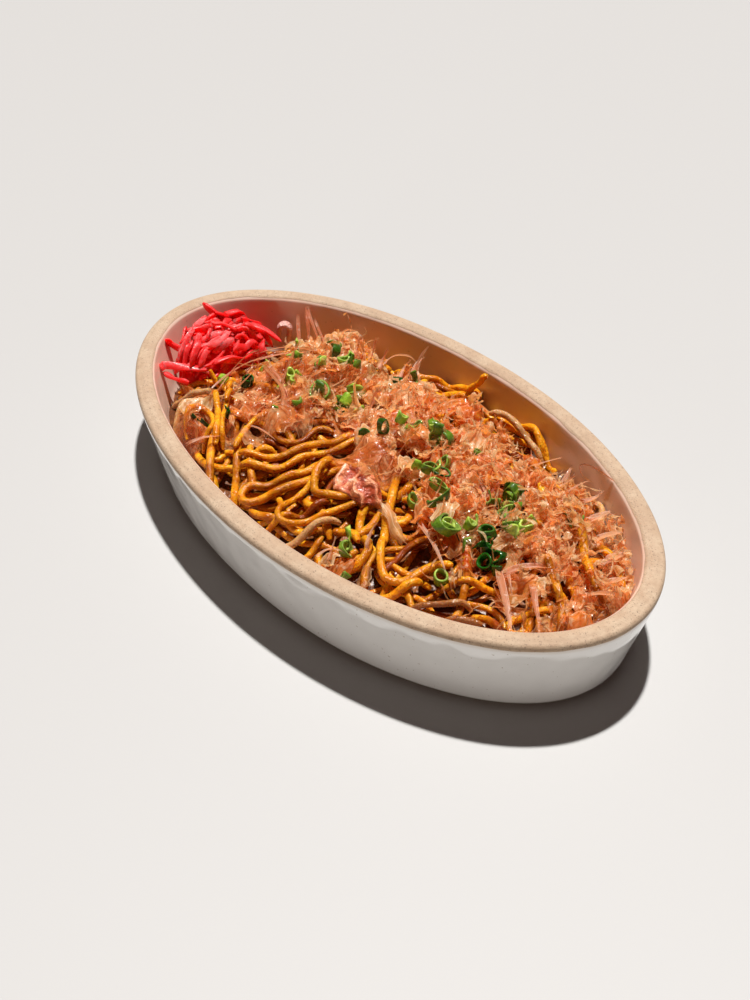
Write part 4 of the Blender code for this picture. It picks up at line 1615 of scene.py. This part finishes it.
RIBBONS = (
    Ribbon(((-0.695, 0.445, 36.5), (-0.665, 0.425, 33.5), (-0.635, 0.41, 31), (-0.58, 0.39, 26)),
           0.0018, 0.6, 0.30),
    Ribbon(((-0.695, 0.445, 36), (-0.65, 0.385, 32), (-0.61, 0.34, 25)), 0.0026, 0.9, 0.25),
    Ribbon(((-0.66, 0.455, 33), (-0.63, 0.44, 30), (-0.57, 0.42, 25)), 0.0012, 0.3, 0.40),
    Ribbon(((-0.71, 0.40, 33), (-0.68, 0.36, 29), (-0.64, 0.31, 25)), 0.0016, 0.2, 0.30),
    Ribbon(((-0.55, 0.50, 30), (-0.53, 0.52, 33), (-0.50, 0.54, 34)), 0.0016, 0.7, 0.40),
    Ribbon(((-0.17, 0.44, 31), (-0.195, 0.53, 34), (-0.21, 0.60, 37), (-0.22, 0.67, 41)),
           0.0022, 1.2, 0.95),
    Ribbon(((-0.18, 0.50, 33), (-0.215, 0.60, 35), (-0.225, 0.66, 36.5)), 0.0030, 0.4, 0.92),
    Ribbon(((-0.20, 0.44, 32), (-0.23, 0.52, 34), (-0.25, 0.60, 35)), 0.0022, 0.8, 0.85),
    Ribbon(((-0.35, 0.44, 31), (-0.37, 0.50, 34), (-0.385, 0.54, 38)), 0.0027, 1.3, 0.35),
    Ribbon(((-0.30, 0.44, 31), (-0.32, 0.50, 33), (-0.33, 0.55, 36)), 0.0034, 1.0, 0.45),
    Ribbon(((-0.40, 0.42, 31), (-0.43, 0.47, 34), (-0.44, 0.52, 36)), 0.0031, 1.2, 0.55),
    Ribbon(((0.07, 0.30, 34), (0.03, 0.14, 35), (0.00, -0.01, 34)), 0.0014, 0.5, 0.75),
    Ribbon(((0.09, 0.26, 34), (0.05, 0.10, 35), (0.01, -0.04, 34)), 0.0013, 0.2, 0.65),
    Ribbon(((0.27, 0.17, 34), (0.35, 0.12, 35.5), (0.42, 0.07, 36), (0.49, 0.01, 35)), 0.0015, 0.5, 0.85),
    Ribbon(((0.34, 0.15, 34), (0.43, 0.06, 36), (0.52, -0.03, 35)), 0.0019, 0.9, 0.70),
    Ribbon(((0.30, 0.20, 34), (0.38, 0.13, 36), (0.46, 0.06, 36)), 0.0012, 0.1, 0.95),
    Ribbon(((0.385, 0.01, 34), (0.405, -0.10, 35.5), (0.41, -0.20, 34)), 0.0013, 0.7, 0.80),
    Ribbon(((0.38, -0.27, 33), (0.43, -0.31, 35), (0.49, -0.345, 35), (0.58, -0.40, 33)),
           0.0023, 0.6, 0.90),
    Ribbon(((0.64, -0.18, 33), (0.70, -0.26, 34), (0.76, -0.33, 33.5), (0.83, -0.41, 31)),
           0.0029, 0.5, 0.72),
    Ribbon(((0.67, -0.17, 33), (0.71, -0.23, 34.5), (0.75, -0.27, 34)), 0.0020, 1.0, 0.88),
    Ribbon(((0.73, -0.12, 32), (0.765, -0.17, 33.5), (0.80, -0.22, 33), (0.85, -0.275, 31)),
           0.0024, 0.5, 0.55),
    Ribbon(((0.66, -0.20, 32), (0.685, -0.12, 34), (0.715, -0.03, 34), (0.755, 0.05, 32)),
           0.0031, 0.2, 0.42),
    Ribbon(((-0.55, -0.02, 32), (-0.48, -0.08, 34), (-0.40, -0.12, 34.5), (-0.32, -0.18, 34),
            (-0.22, -0.30, 31)),
           0.0024, 0.5, 0.22),
    Ribbon(((-0.52, -0.46, 30), (-0.54, -0.32, 32), (-0.555, -0.17, 33), (-0.56, -0.01, 33)),
           0.0013, 0.4, 0.30),
    Ribbon(((-0.50, -0.42, 30), (-0.55, -0.25, 33), (-0.60, -0.08, 33), (-0.61, 0.02, 32)),
           0.0010, 0.9, 0.42),
    Ribbon(((-0.57, -0.12, 32), (-0.53, 0.06, 33.5), (-0.48, 0.20, 34)), 0.0015, 0.3, 0.40),
    Ribbon(((-0.60, -0.04, 32), (-0.55, 0.12, 34), (-0.45, 0.28, 33.5)), 0.0011, 0.8, 0.30),
    Ribbon(((-0.33, -0.80, 30), (-0.31, -0.71, 31.5), (-0.295, -0.62, 31)), 0.0018, 0.2, 0.55),
    Ribbon(((-0.30, -0.46, 31), (-0.24, -0.44, 32.5), (-0.17, -0.42, 32)), 0.0015, 0.5, 0.65),
    Ribbon(((0.375, 0.50, 33), (0.40, 0.555, 35), (0.425, 0.60, 37)), 0.0011, 0.5, 1.0),
    Ribbon(((0.49, 0.46, 33), (0.50, 0.51, 35), (0.505, 0.55, 37)), 0.0018, 1.0, 0.80),
    Ribbon(((0.52, 0.47, 33), (0.53, 0.525, 35), (0.545, 0.57, 37)), 0.0014, 0.5, 0.95),
    Ribbon(((0.48, 0.50, 33), (0.475, 0.55, 35), (0.465, 0.59, 36)), 0.0016, 0.2, 0.90),
    Ribbon(((0.22, 0.30, 34), (0.185, 0.40, 35.5), (0.16, 0.49, 36)), 0.0020, 0.7, 0.97),
    Ribbon(((0.42, 0.10, 34), (0.40, 0.21, 36), (0.39, 0.34, 34)), 0.0013, 0.4, 0.65),
    Ribbon(((0.36, -0.56, 30), (0.345, -0.51, 33), (0.325, -0.45, 35)), 0.0023, 0.9, 1.0),
    Ribbon(((0.33, -0.74, 29), (0.315, -0.69, 32), (0.29, -0.64, 33)), 0.0020, 1.1, 0.95),
    Ribbon(((0.30, -0.78, 29), (0.31, -0.71, 31), (0.34, -0.66, 31)), 0.0018, 0.6, 0.88),
    Ribbon(((-0.30, 0.45, 32), (-0.30, 0.54, 34.5), (-0.27, 0.61, 34.5), (-0.23, 0.62, 33)),
           0.0016, 0.9, 0.80),
    Ribbon(((0.63, 0.42, 31), (0.66, 0.45, 34), (0.68, 0.48, 37)), 0.0046, 0.2, 0.98),
    Ribbon(((0.70, 0.35, 31), (0.73, 0.38, 34), (0.755, 0.41, 36.5)), 0.0052, 0.5, 1.0),
    Ribbon(((0.77, 0.27, 30), (0.80, 0.30, 33), (0.82, 0.325, 36)), 0.0050, 0.1, 0.95),
    Ribbon(((0.83, 0.16, 30), (0.86, 0.19, 32.5), (0.88, 0.21, 35.5)), 0.0046, 0.4, 1.0),
    Ribbon(((0.57, 0.48, 32), (0.60, 0.52, 35), (0.61, 0.55, 38)), 0.0030, 0.3, 0.90),
    Ribbon(((0.84, 0.02, 31), (0.87, 0.06, 33), (0.90, 0.10, 34)), 0.0032, 0.9, 0.92),
    Ribbon(((0.66, 0.14, 33), (0.70, 0.12, 35), (0.73, 0.08, 34)), 0.0040, 1.0, 0.85),
)

THREADS = (
    Ribbon(((-0.20, 0.32, 35), (-0.14, 0.20, 37), (-0.09, 0.08, 36.5), (-0.01, -0.04, 34)),
           0.0011, 0.3, 0.30),
    Ribbon(((-0.19, 0.28, 35), (-0.13, 0.16, 37), (-0.07, 0.03, 35)), 0.0009, 0.9, 0.40),
    Ribbon(((-0.43, -0.46, 33), (-0.44, -0.32, 35.5), (-0.49, -0.14, 36)), 0.0012, 0.5, 0.65),
    Ribbon(((-0.48, -0.12, 35.5), (-0.40, -0.15, 36.5), (-0.32, -0.19, 36.5), (-0.26, -0.28, 35),
            (-0.19, -0.35, 33)),
           0.0016, 0.4, 0.85),
    Ribbon(((-0.47, -0.10, 35.5), (-0.39, -0.12, 37), (-0.31, -0.17, 36), (-0.25, -0.25, 34)),
           0.0009, 1.0, 0.55),
    Ribbon(((-0.58, -0.19, 33), (-0.50, -0.18, 36.5), (-0.48, -0.09, 36.5), (-0.52, 0.11, 34)),
           0.0010, 0.6, 0.45),
    Ribbon(((-0.57, 0.24, 33), (-0.46, 0.04, 36.5), (-0.37, -0.15, 35)), 0.0010, 0.2, 0.60),
    Ribbon(((0.565, 0.715, 33.5), (0.47, 0.735, 32), (0.435, 0.715, 31), (0.46, 0.675, 30),
            (0.51, 0.68, 29.5)),
           0.0007, 0.5, 0.15),
)


@dataclass
class FlakeDrift:
    """The loose drift of fish shavings over the noodles."""

    hollow: Hollow
    ground: Terrain
    ceiling: Terrain
    seed: int = 31
    reach: Place = (0.92, 0.88)
    level: float = 0.028
    wall_gap: float = 0.0010
    film_gap: float = 0.0004
    film_share: float = 0.35
    upright_over: float = 0.0035
    flat_over: float = 0.0005
    refused: float = 0.9
    renewal: int = 40

    def __post_init__(self) -> None:
        """Make the finishes and the source of unevenness that all kinds share."""
        self.dry, self.moist = Flake(), MoistFlake()
        self.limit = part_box("bonito_flakes")[1].z + HEADROOM
        self.rng = np.random.default_rng(self.seed)

    def spot(self, kind: FlakeKind) -> Place:
        """Draw a random place where a kind lies.

        Args:
            kind: the kind of flake.

        Returns:
            The place, as shares of the dish's half sizes.
        """
        while True:
            place = tuple(self.rng.uniform(-1.0, 1.0, 2))
            if math.hypot(place[0] / self.reach[0], place[1] / self.reach[1]) > 1.0:
                continue
            weight = max(patch.value(place) for patch in kind.where)
            for patch in BARE_PATCHES:
                weight *= 1.0 - patch.value(place)
            u, v = place
            waves = (19 * u + 7 * v + 1.0, 11 * u - 15 * v + 2.0, 27 * v - 9 * u)
            clump = sum(math.sin(wave) for wave in waves)
            if self.rng.random() < weight * (0.15 + 0.85 * smooth_step(-1.1, 0.6, clump)):
                return place

    def shape(self, kind: FlakeKind, pattern: np.ndarray) -> np.ndarray:
        """One flake, curled and ragged, about the origin.

        Args:
            kind: the kind of flake.
            pattern: the corners of a frayed sheet.

        Returns:
            Where the pattern's corners are on the flake.
        """
        rng = self.rng
        along, across, finger = pattern.T
        length = rng.uniform(*kind.lengths)
        width = rng.uniform(*kind.widths)
        phase = rng.uniform(0.0, PHASES, 6)
        rows = kind.rows[1]
        which = np.clip(((finger + 1) / 2 * rows).astype(int), 0, rows - 1) + rows * (along > 0)
        middle = (np.arange(2 * rows) % rows + 0.5) / rows * 2 - 1
        loose = np.clip((np.abs(along) - kind.whole) / max(1.0 - kind.whole, 1e-6), 0.0, 1.0)
        across = middle[which] + (across - middle[which]) * (1.0 - 0.85 * loose ** 1.5)
        apart = rng.normal(0.0, kind.fray, 2 * rows)[which] * loose
        lift = rng.normal(0.0, kind.fray, 2 * rows)[which] * loose
        short = rng.uniform(0.0, min(kind.fray, 0.5), 2 * rows)[which] * loose
        taper = 1.0 - np.abs(along) ** rng.uniform(1.6, 4.0) * rng.uniform(0.4, 0.92)
        edge = np.sign(across)
        ragged = 1.0 + 0.20 * np.sin(5.1 * along + phase[0] + 1.5 * edge)
        ragged += 0.14 * np.sin(11.3 * along + phase[1] + 2.3 * edge)
        side = (across * taper * ragged + apart) * width / 2
        drift = 0.10 * length * np.sin(1.7 * along + phase[2])
        angle = kind.curl * (rng.normal(0.0, 0.8) * along + 0.5 * rng.normal() * along ** 2)
        angle = np.where(np.abs(angle) > 1e-3, angle, 1e-3)
        run = along * (1.0 - short) * length / 2
        x = run * np.sin(angle) / angle
        z = run * (1.0 - np.cos(angle)) / angle
        z = z + rng.normal(0.0, 0.7) * side ** 2 / max(width, 0.001) + lift * width / 2
        twist = rng.normal(0.0, 0.6) * along
        wrinkle = 0.05 * width * (np.sin(4.3 * along + 2.1 * across + phase[3])
                                  + np.sin(7.7 * across + 3 * along + phase[4]))
        return np.column_stack([x, side * np.cos(twist) + drift, z + side * np.sin(twist) + wrinkle])

    def settle(self, kind: FlakeKind, shape: np.ndarray, skin: Terrain) -> np.ndarray | None:
        """Tip a flake and let it down on the heap.

        Args:
            kind: the kind of flake.
            shape: the flake, about the origin.
            skin: what it comes to rest on.

        Returns:
            The flake in its place, or None where it would stand too high.
        """
        rng = self.rng
        upright = rng.random() < kind.upright
        lean = (rng.normal(0.0, kind.tilt), rng.normal(0.0, kind.tilt), rng.uniform(0.0, PHASES))
        if upright:
            lean = (rng.uniform(-0.9, 0.9), rng.uniform(0.7, 1.5), lean[2])
        shape = shape @ turn(lean).T
        shape[:, :2] += self.hollow.at(self.spot(kind))
        level = (0.0, 0.0, self.level)
        shape = self.hollow.held(shape + level, self.wall_gap) - level
        floor = skin.height(shape)
        loose = shape[:, 2] + (floor - shape[:, 2]).max() - kind.sink
        close = floor + self.film_gap + self.film_share * (shape[:, 2] - shape[:, 2].min())
        shape[:, 2] = loose + kind.cling * (close - loose)
        if shape[:, 2].max() > self.limit:
            return None
        over = shape[:, 2].mean() - self.ceiling.height(shape).mean()
        most = self.upright_over if upright else self.flat_over
        return None if over > most and rng.random() < self.refused else shape

    def scatter(self, kind: FlakeKind) -> None:
        """Make all flakes of one kind.

        Args:
            kind: the kind of flake, which names the piece.
        """
        sheet, pattern = frayed_sheet(kind.rows, kind.whole)
        shapes: list[np.ndarray] = []
        skin = self.ground.smoothed(2 if kind.moist else 0)
        while len(shapes) < kind.count:
            shape = self.settle(kind, self.shape(kind, pattern), skin)
            if shape is not None:
                self.ground.raise_towards(shape, kind.growth)
                shapes.append(shape)
                if kind.moist:
                    skin.raise_towards(shape, kind.growth)
                elif len(shapes) % self.renewal == 0:
                    skin = self.ground
        tones = self.rng.beta(*kind.shades, len(shapes))
        finish = self.moist if kind.moist else self.dry
        put_in_scene(kind.name, scattered(sheet, shapes, tones), finish, "bonito_flakes")

    def place(self, name: str, ribbons: Sequence[Ribbon], whole: float, finish: Finish) -> None:
        """Make the shavings that have their places given.

        Args:
            name: the piece's name.
            ribbons: their courses.
            whole: how far from its middle a shaving begins to split, from 0 to 1.
            finish: what they are dressed in.
        """
        fingers = 4
        sheet, pattern = frayed_sheet((16, fingers), whole)
        along, across, finger = pattern.T
        shapes = []
        for ribbon in ribbons:
            line = resample(self.hollow.metres(ribbon.points), 0.0004)
            marks = (along + 1) / 2 * (len(line) - 1)
            across_line, above_line = [between(way, marks) for way in directions(line)]
            flat, proud = rolled(across_line, above_line, ribbon.roll + 0.5 * along)
            loose = np.clip((np.abs(along) - whole) / (1.0 - whole), 0.0, 1.0)
            spread = 1.0 + 0.35 * loose
            reach = finger * spread + (across - finger) * (1.0 - 0.9 * loose)
            reach = reach * (1.0 - 0.45 * np.abs(along) ** 3) * ribbon.width / 2
            cup = 0.9 * reach ** 2 / ribbon.width
            which = np.clip(((finger + 1) / 2 * fingers).astype(int), 0, fingers - 1)
            which = which + fingers * (along > 0)
            uneven = loose * self.rng.normal(0.0, 0.25, 2 * fingers)[which]
            rise = cup + uneven * ribbon.width
            shapes.append(between(line, marks) + flat * reach[:, None] + proud * rise[:, None])
        tones = [ribbon.tone for ribbon in ribbons]
        put_in_scene(name, scattered(sheet, shapes, tones), finish, "bonito_flakes")


# ---- the onions
class Cut(Enum):
    """How a piece of onion was cut: its diameter, length and wall in millimetres, and its shade."""

    SMALL_LIME = (4.8, 3.4, 0.9, 1.0)
    SMALL = (4.8, 2.8, 0.8, 0.60)
    MEDIUM = (6.0, 3.2, 0.8, 0.50)
    LARGE = (8.0, 3.4, 0.8, 0.33)
    DARK = (5.8, 3.2, 0.7, 0.05)
    THIN = (5.6, 0.8, 0.6, 0.15)
    BIT = (2.0, 4.0, 0.7, -0.3)


ONION_SPOTS = (
    (Cut.SMALL_LIME, (-0.58, 0.00)), (Cut.SMALL_LIME, (-0.62, -0.24)), (Cut.SMALL_LIME, (-0.58, 0.22)),
    (Cut.DARK, (-0.51, -0.20)), (Cut.SMALL_LIME, (-0.41, -0.03)), (Cut.SMALL, (-0.47, 0.10)),
    (Cut.MEDIUM, (-0.37, 0.12)), (Cut.DARK, (-0.43, 0.31)), (Cut.SMALL, (-0.26, 0.23)),
    (Cut.SMALL, (-0.28, 0.35)), (Cut.DARK, (-0.18, 0.39)), (Cut.LARGE, (-0.27, -0.01)),
    (Cut.MEDIUM, (-0.20, 0.03)), (Cut.SMALL_LIME, (-0.19, 0.06)), (Cut.SMALL, (-0.14, 0.08)),
    (Cut.SMALL, (-0.25, -0.18)), (Cut.DARK, (0.04, -0.01)), (Cut.SMALL_LIME, (0.06, 0.08)),
    (Cut.SMALL, (0.10, 0.13)), (Cut.MEDIUM, (0.07, 0.29)), (Cut.LARGE, (0.17, 0.18)),
    (Cut.SMALL, (0.27, 0.28)), (Cut.MEDIUM, (0.25, -0.01)), (Cut.SMALL, (0.25, 0.08)),
    (Cut.THIN, (0.30, -0.01)), (Cut.MEDIUM, (0.34, -0.09)), (Cut.SMALL, (0.30, -0.19)),
    (Cut.LARGE, (0.47, -0.24)), (Cut.SMALL_LIME, (0.49, -0.12)), (Cut.LARGE, (0.45, 0.21)),
    (Cut.MEDIUM, (0.48, 0.15)), (Cut.MEDIUM, (0.51, 0.08)), (Cut.MEDIUM, (0.55, 0.04)),
    (Cut.MEDIUM, (0.58, 0.00)), (Cut.DARK, (0.57, -0.13)), (Cut.DARK, (0.61, -0.14)),
    (Cut.DARK, (0.60, -0.19)), (Cut.THIN, (0.63, 0.27)), (Cut.MEDIUM, (0.33, -0.64)),
    (Cut.SMALL, (0.38, -0.72)), (Cut.SMALL, (0.56, -0.40)), (Cut.BIT, (-0.35, -0.51)),
    (Cut.BIT, (-0.44, -0.62)), (Cut.SMALL_LIME, (-0.31, 0.21)), (Cut.SMALL, (0.14, 0.21)),
    (Cut.MEDIUM, (0.53, 0.11)), (Cut.DARK, (0.54, -0.09)), (Cut.SMALL_LIME, (0.61, 0.03)),
)


@dataclass
class Onions:
    """Rings and slivers of green onion, each cut, squashed and tipped in its own way."""

    hollow: Hollow
    ground: Terrain
    seed: int = 5
    sliver_angle: float = 2.6
    scatter: float = 0.0038
    ring_sink: float = 0.0019
    sliver_sink: float = 0.0014
    growth: float = 0.25
    section: tuple[Place, ...] = ((1.0, -0.85), (1.0, 0.85), (0.85, 1.0), (0.15, 1.0), (0.0, 0.85),
                                  (0.0, -0.85), (0.15, -1.0), (0.85, -1.0))

    def __post_init__(self) -> None:
        """Make the source of unevenness."""
        self.rng = random.Random(self.seed)

    def pattern(self, angle: float, steps: int) -> tuple[bmesh.types.BMesh, np.ndarray]:
        """A ring, or part of one, of inner radius 1 and wall 1.

        Args:
            angle: how far round it goes.
            steps: how many faces it has round it.

        Returns:
            The ring and its corners.
        """
        bm = bmesh.new()
        corners = [bm.verts.new((1.0 + across, 0.0, along)) for across, along in self.section]
        edges = [bm.edges.new(pair) for pair in zip(corners, corners[1:] + corners[:1])]
        bmesh.ops.spin(bm, geom=corners + edges, cent=(0, 0, 0), axis=(0, 0, 1), angle=angle,
                       steps=steps, use_merge=angle > 6.2, use_duplicate=False)
        bmesh.ops.holes_fill(bm, edges=[edge for edge in bm.edges if edge.is_boundary], sides=0)
        bmesh.ops.recalc_face_normals(bm, faces=bm.faces)
        return bm, np.array([corner.co for corner in bm.verts])

    def bent(self, plain: np.ndarray, cut: Cut, shrink: float) -> np.ndarray:
        """One ring about the origin, squashed and cut at a slant.

        Args:
            plain: the corners of the plain ring.
            cut: how it was cut.
            shrink: its size as a share of that cut's.

        Returns:
            Where the corners are on the bent ring.
        """
        rng = self.rng
        diameter, length, wall = (value / 1000 for value in cut.value[:3])
        reach = np.hypot(plain[:, 0], plain[:, 1])
        angle = np.arctan2(plain[:, 1], plain[:, 0])
        radius = diameter / 2 * shrink * rng.uniform(0.85, 1.15)
        squash = rng.choice((rng.uniform(0.75, 1.0), rng.uniform(0.4, 0.8)))
        wave = 1.0 + 0.09 * np.sin(2 * angle + rng.uniform(0, 6))
        wave += 0.07 * np.sin(3 * angle + rng.uniform(0, 6))
        out = (radius - wall) * wave + wall * (reach - 1.0)
        slant = rng.uniform(-0.45, 0.45)
        lip = 0.12 * length * np.sin(2 * angle + rng.uniform(0, 6)) * np.sign(plain[:, 2])
        flare = 1.0 + 0.10 * plain[:, 2] * rng.uniform(-1.0, 1.0)
        return np.column_stack([
            out * np.cos(angle) * flare, squash * out * np.sin(angle) * flare,
            plain[:, 2] * length / 2 * rng.uniform(0.7, 1.2) + slant * out * np.cos(angle) + lip,
        ])

    def drop(self, shapes: list[np.ndarray], place: np.ndarray, tip: float,
             sink: float) -> list[np.ndarray]:
        """Tip nested shapes together and let them down on the heap.

        Args:
            shapes: the shapes, about the origin.
            place: their x and y.
            tip: how far they are tipped over, in radians.
            sink: how deep they sink in.

        Returns:
            The shapes in their place.
        """
        tilt = turn((0.0, tip, self.rng.uniform(0.0, PHASES))).T
        tipped = [shape @ tilt for shape in shapes]
        lift = -1.0
        for shape in tipped:
            shape[:, :2] += place
            lift = max(lift, (self.ground.height(shape) - shape[:, 2]).max() - sink)
        highest = max(shape[:, 2].max() for shape in tipped)
        lift = min(lift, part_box("bonito_flakes")[1].z + HEADROOM - highest)
        for shape in tipped:
            shape[:, 2] += lift
            self.ground.raise_towards(shape, self.growth)
        return tipped

    def build(self) -> None:
        """Make the rings at their places on the heap, and slivers beside them."""
        rng = self.rng
        ring, plain = self.pattern(2 * math.pi, 18)
        sliver, part = self.pattern(self.sliver_angle, 7)
        rings, shades, bits, bit_shades = [], [], [], []
        for cut, place in ONION_SPOTS:
            shade = cut.value[3] + rng.uniform(-0.12, 0.12)
            spot = self.hollow.at(place)
            nest = [self.bent(plain, cut, 1.0)]
            if cut is Cut.LARGE:
                nest.append(self.bent(plain, cut, 0.62))
            tip = rng.choice((rng.uniform(0.0, 0.6), rng.uniform(0.3, 1.0), rng.uniform(1.0, 1.5)))
            rings += self.drop(nest, spot, tip, self.ring_sink)
            shades += [min(max(shade + 0.35 * k, 0.0), 1.0) for k in range(len(nest))]
            for _ in range(rng.choice((0, 1, 1, 2))):
                beside = spot + np.array([rng.gauss(0.0, self.scatter), rng.gauss(0.0, self.scatter)])
                bit = self.bent(part, cut, 0.9)
                bits += self.drop([bit], beside, rng.uniform(0.0, 1.5), self.sliver_sink)
                bit_shades.append(min(max(shade + rng.uniform(-0.3, 0.5), 0.0), 1.0))
        finish = Onion()
        for name, pattern, corners, shapes, tones in (("onion_rings", ring, plain, rings, shades),
                                                      ("onion_slivers", sliver, part, bits, bit_shades)):
            skin = np.clip(np.hypot(corners[:, 0], corners[:, 1]) - 1.0, 0.0, 1.0)
            skin = skin * (1.0 - 0.5 * (np.abs(corners[:, 2]) > 0.95))
            mesh = scattered(pattern, shapes, tones)
            paint(mesh, "skin", np.tile(skin, len(shapes)))
            put_in_scene(name, mesh, finish, "bonito_flakes")


# ---- pork and squid
def folded_copy(node: str, height: float, pitch: float, heading: float) -> bpy.types.Mesh:
    """A finer copy of a CAD node, drawn up in folds.

    Args:
        node: the CAD node to copy.
        height: height of the folds, in metres.
        pitch: their spacing, in metres.
        heading: which way they run, in radians from +X.

    Returns:
        The mesh, with the height of its folds, from 0 to 1, in the tone attribute.
    """
    bm = merged_copy(node)
    bmesh.ops.subdivide_edges(bm, edges=bm.edges, cuts=4, use_grid_fill=True)
    for _ in range(3):
        bmesh.ops.smooth_vert(bm, verts=bm.verts, factor=0.5,
                              use_axis_x=True, use_axis_y=True, use_axis_z=True)
    bmesh.ops.recalc_face_normals(bm, faces=bm.faces)
    bm.normal_update()
    rate = math.pi / pitch
    shares = []
    for corner in bm.verts:
        x, y = corner.co.xy * rate
        along = x * math.cos(heading) + y * math.sin(heading)
        across = y * math.cos(heading) - x * math.sin(heading)
        sway = 1.2 * math.sin(0.45 * along + 1.0)
        sway_fine = 0.4 * math.sin(1.7 * along + across)
        folds = 1.0 - abs(math.sin(across + sway + sway_fine))
        cross_folds = 1.0 - abs(math.sin(0.6 * along + 0.5 * math.sin(across)))
        shares.append(0.7 * folds + 0.3 * cross_folds)
    for corner, share in zip(bm.verts, shares):
        corner.co += corner.normal * height * (share - 0.2)
    mesh = finished(bm, node)
    paint(mesh, "tone", shares)
    return mesh


# ---- the stage
@dataclass(frozen=True)
class Sun:
    """A far light: where it comes from, its strength, its width in radians and its colour."""

    name: str
    towards: tuple[float, float, float]
    strength: float
    angle: float
    colour: Colour
    glossy: bool = True

    def shine(self) -> None:
        """Make the light."""
        light = bpy.data.lights.new(self.name, "SUN")
        light.energy, light.angle, light.color = self.strength, self.angle, self.colour
        lamp = bpy.data.objects.new(self.name, light)
        lamp.visible_glossy = self.glossy
        lamp.rotation_euler = Vector(self.towards).to_track_quat("Z", "Y").to_euler()
        bpy.context.scene.collection.objects.link(lamp)


@dataclass
class Stage:
    """A pale table top, a hard-edged key light from behind, soft fill, and the camera."""

    camera_place: tuple[float, float, float] = (0.3167, -0.2403, 0.3133)
    camera_aim: tuple[float, float, float] = (0.0256, -0.0199, 0.0300)
    lens: float = 49.2
    key: Sun = Sun("key", (-0.169, 0.219, 0.961), 5.40, 0.045, (1.0, 0.985, 0.965))
    front: Sun = Sun("front", (0.45, -0.88, 0.042), 0.50, 0.08, (1.0, 0.93, 0.86), glossy=False)
    fill: Colour = (1.0, 0.38, 0.28)
    fill_strength: float = 0.036
    table_colour: Colour = (0.466, 0.459, 0.450)
    table_rough: float = 0.6
    table_reach: float = 3.0

    def lay_table(self) -> None:
        """Make the plain table top."""
        bm = bmesh.new()
        bmesh.ops.create_grid(bm, x_segments=4, y_segments=4, size=self.table_reach)
        mesh = finished(bm, "table")
        table = bpy.data.objects.new("table", mesh)
        bpy.context.scene.collection.objects.link(table)
        material = bpy.data.materials.new("table_top")
        material.use_nodes = True
        shader = material.node_tree.nodes["Principled BSDF"]
        shader.inputs["Base Color"].default_value = rgba(self.table_colour)
        shader.inputs["Roughness"].default_value = self.table_rough
        mesh.materials.append(material)

    def light(self) -> None:
        """Make the two suns and the even fill."""
        self.key.shine()
        self.front.shine()
        world = bpy.data.worlds.new("fill")
        world.use_nodes = True
        background = world.node_tree.nodes["Background"]
        background.inputs["Color"].default_value = rgba(self.fill)
        background.inputs["Strength"].default_value = self.fill_strength
        bpy.context.scene.world = world

    def build(self) -> None:
        """Make the table, the lights and the camera."""
        self.lay_table()
        self.light()
        lens = bpy.data.cameras.new("camera")
        lens.lens, lens.sensor_width, lens.clip_start = self.lens, 36.0, 0.01
        camera = bpy.data.objects.new("camera", lens)
        camera.location = self.camera_place
        aim = Vector(self.camera_aim) - Vector(self.camera_place)
        camera.rotation_euler = aim.to_track_quat("-Z", "Y").to_euler()
        bpy.context.scene.collection.objects.link(camera)
        bpy.context.scene.camera = camera
        bpy.context.scene.view_settings.view_transform = "Standard"


def top_of(nodes: Iterable[str], ground: float) -> Terrain:
    """The top of some CAD nodes as a terrain over the whole dish.

    Args:
        nodes: the names of the nodes.
        ground: the height where there are none of them.

    Returns:
        The terrain.
    """
    corners: list[Vector] = []
    faces: list[list[int]] = []
    for name in nodes:
        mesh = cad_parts[name].data
        faces += [[len(corners) + index for index in face.vertices] for face in mesh.polygons]
        corners += [corner.co.copy() for corner in mesh.vertices]
    low, high = (Vector(corner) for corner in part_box("dish"))
    top = Terrain(low, high, ground)
    top.cast(BVHTree.FromPolygons(corners, faces), high.z + 0.02)
    return top


def main() -> None:
    """Dress the dish and its food, and set the stage."""
    logging.basicConfig(level=logging.INFO, format="%(message)s")
    Stage().build()
    Dish().build(Stoneware())
    hollow = Hollow()
    noodle_top = top_of(["noodles"], -1.0).smoothed(2)
    ground = noodle_top.smoothed(0)
    ground.z = np.maximum(noodle_top.z - NoodleHeap.bed_drop, Dish.floor)
    pile = Pile(hollow, ground)
    noodle = Noodle()
    NoodleHeap(hollow).build(pile, noodle_top, noodle)
    GingerHeap().build(pile, top_of(["pickled_ginger"], -1.0))
    pork_folds = (0.0026, 0.0058, math.radians(-37))
    squid_folds = (0.0001, 0.0050, 0.8)
    for node, finish, slot, folds in (("pork_slice", Meat(), "pork", pork_folds),
                                      ("squid_curl", Squid(), "squid", squid_folds)):
        mesh = folded_copy(node, *folds)
        put_in_scene(node + "_cooked", mesh, finish, node)
        ground.stamp(np.array([corner.co for corner in mesh.vertices]), 0.0006)
    drift = FlakeDrift(hollow, ground, top_of(["bonito_flakes", "noodles"], 0.0))
    drift.scatter(FILMS)
    drift.scatter(SHAVINGS)
    pile.place("late_noodles", LATE_NOODLES, noodle, NOODLE_STIFFNESS)
    pile.place("late_sprouts", LATE_SPROUTS, Sprout(), SPROUT_STIFFNESS)
    drift.scatter(VEILS)
    Onions(hollow, ground).build()
    for kind in (OVER, FIBRES, FLUFF, SLIVERS):
        drift.scatter(kind)
    drift.place("flake_ribbons", RIBBONS, 0.70, BlushFlake())
    drift.place("flake_threads", THREADS, 0.85, DarkFlake())


if __name__ == "__main__":
    main()
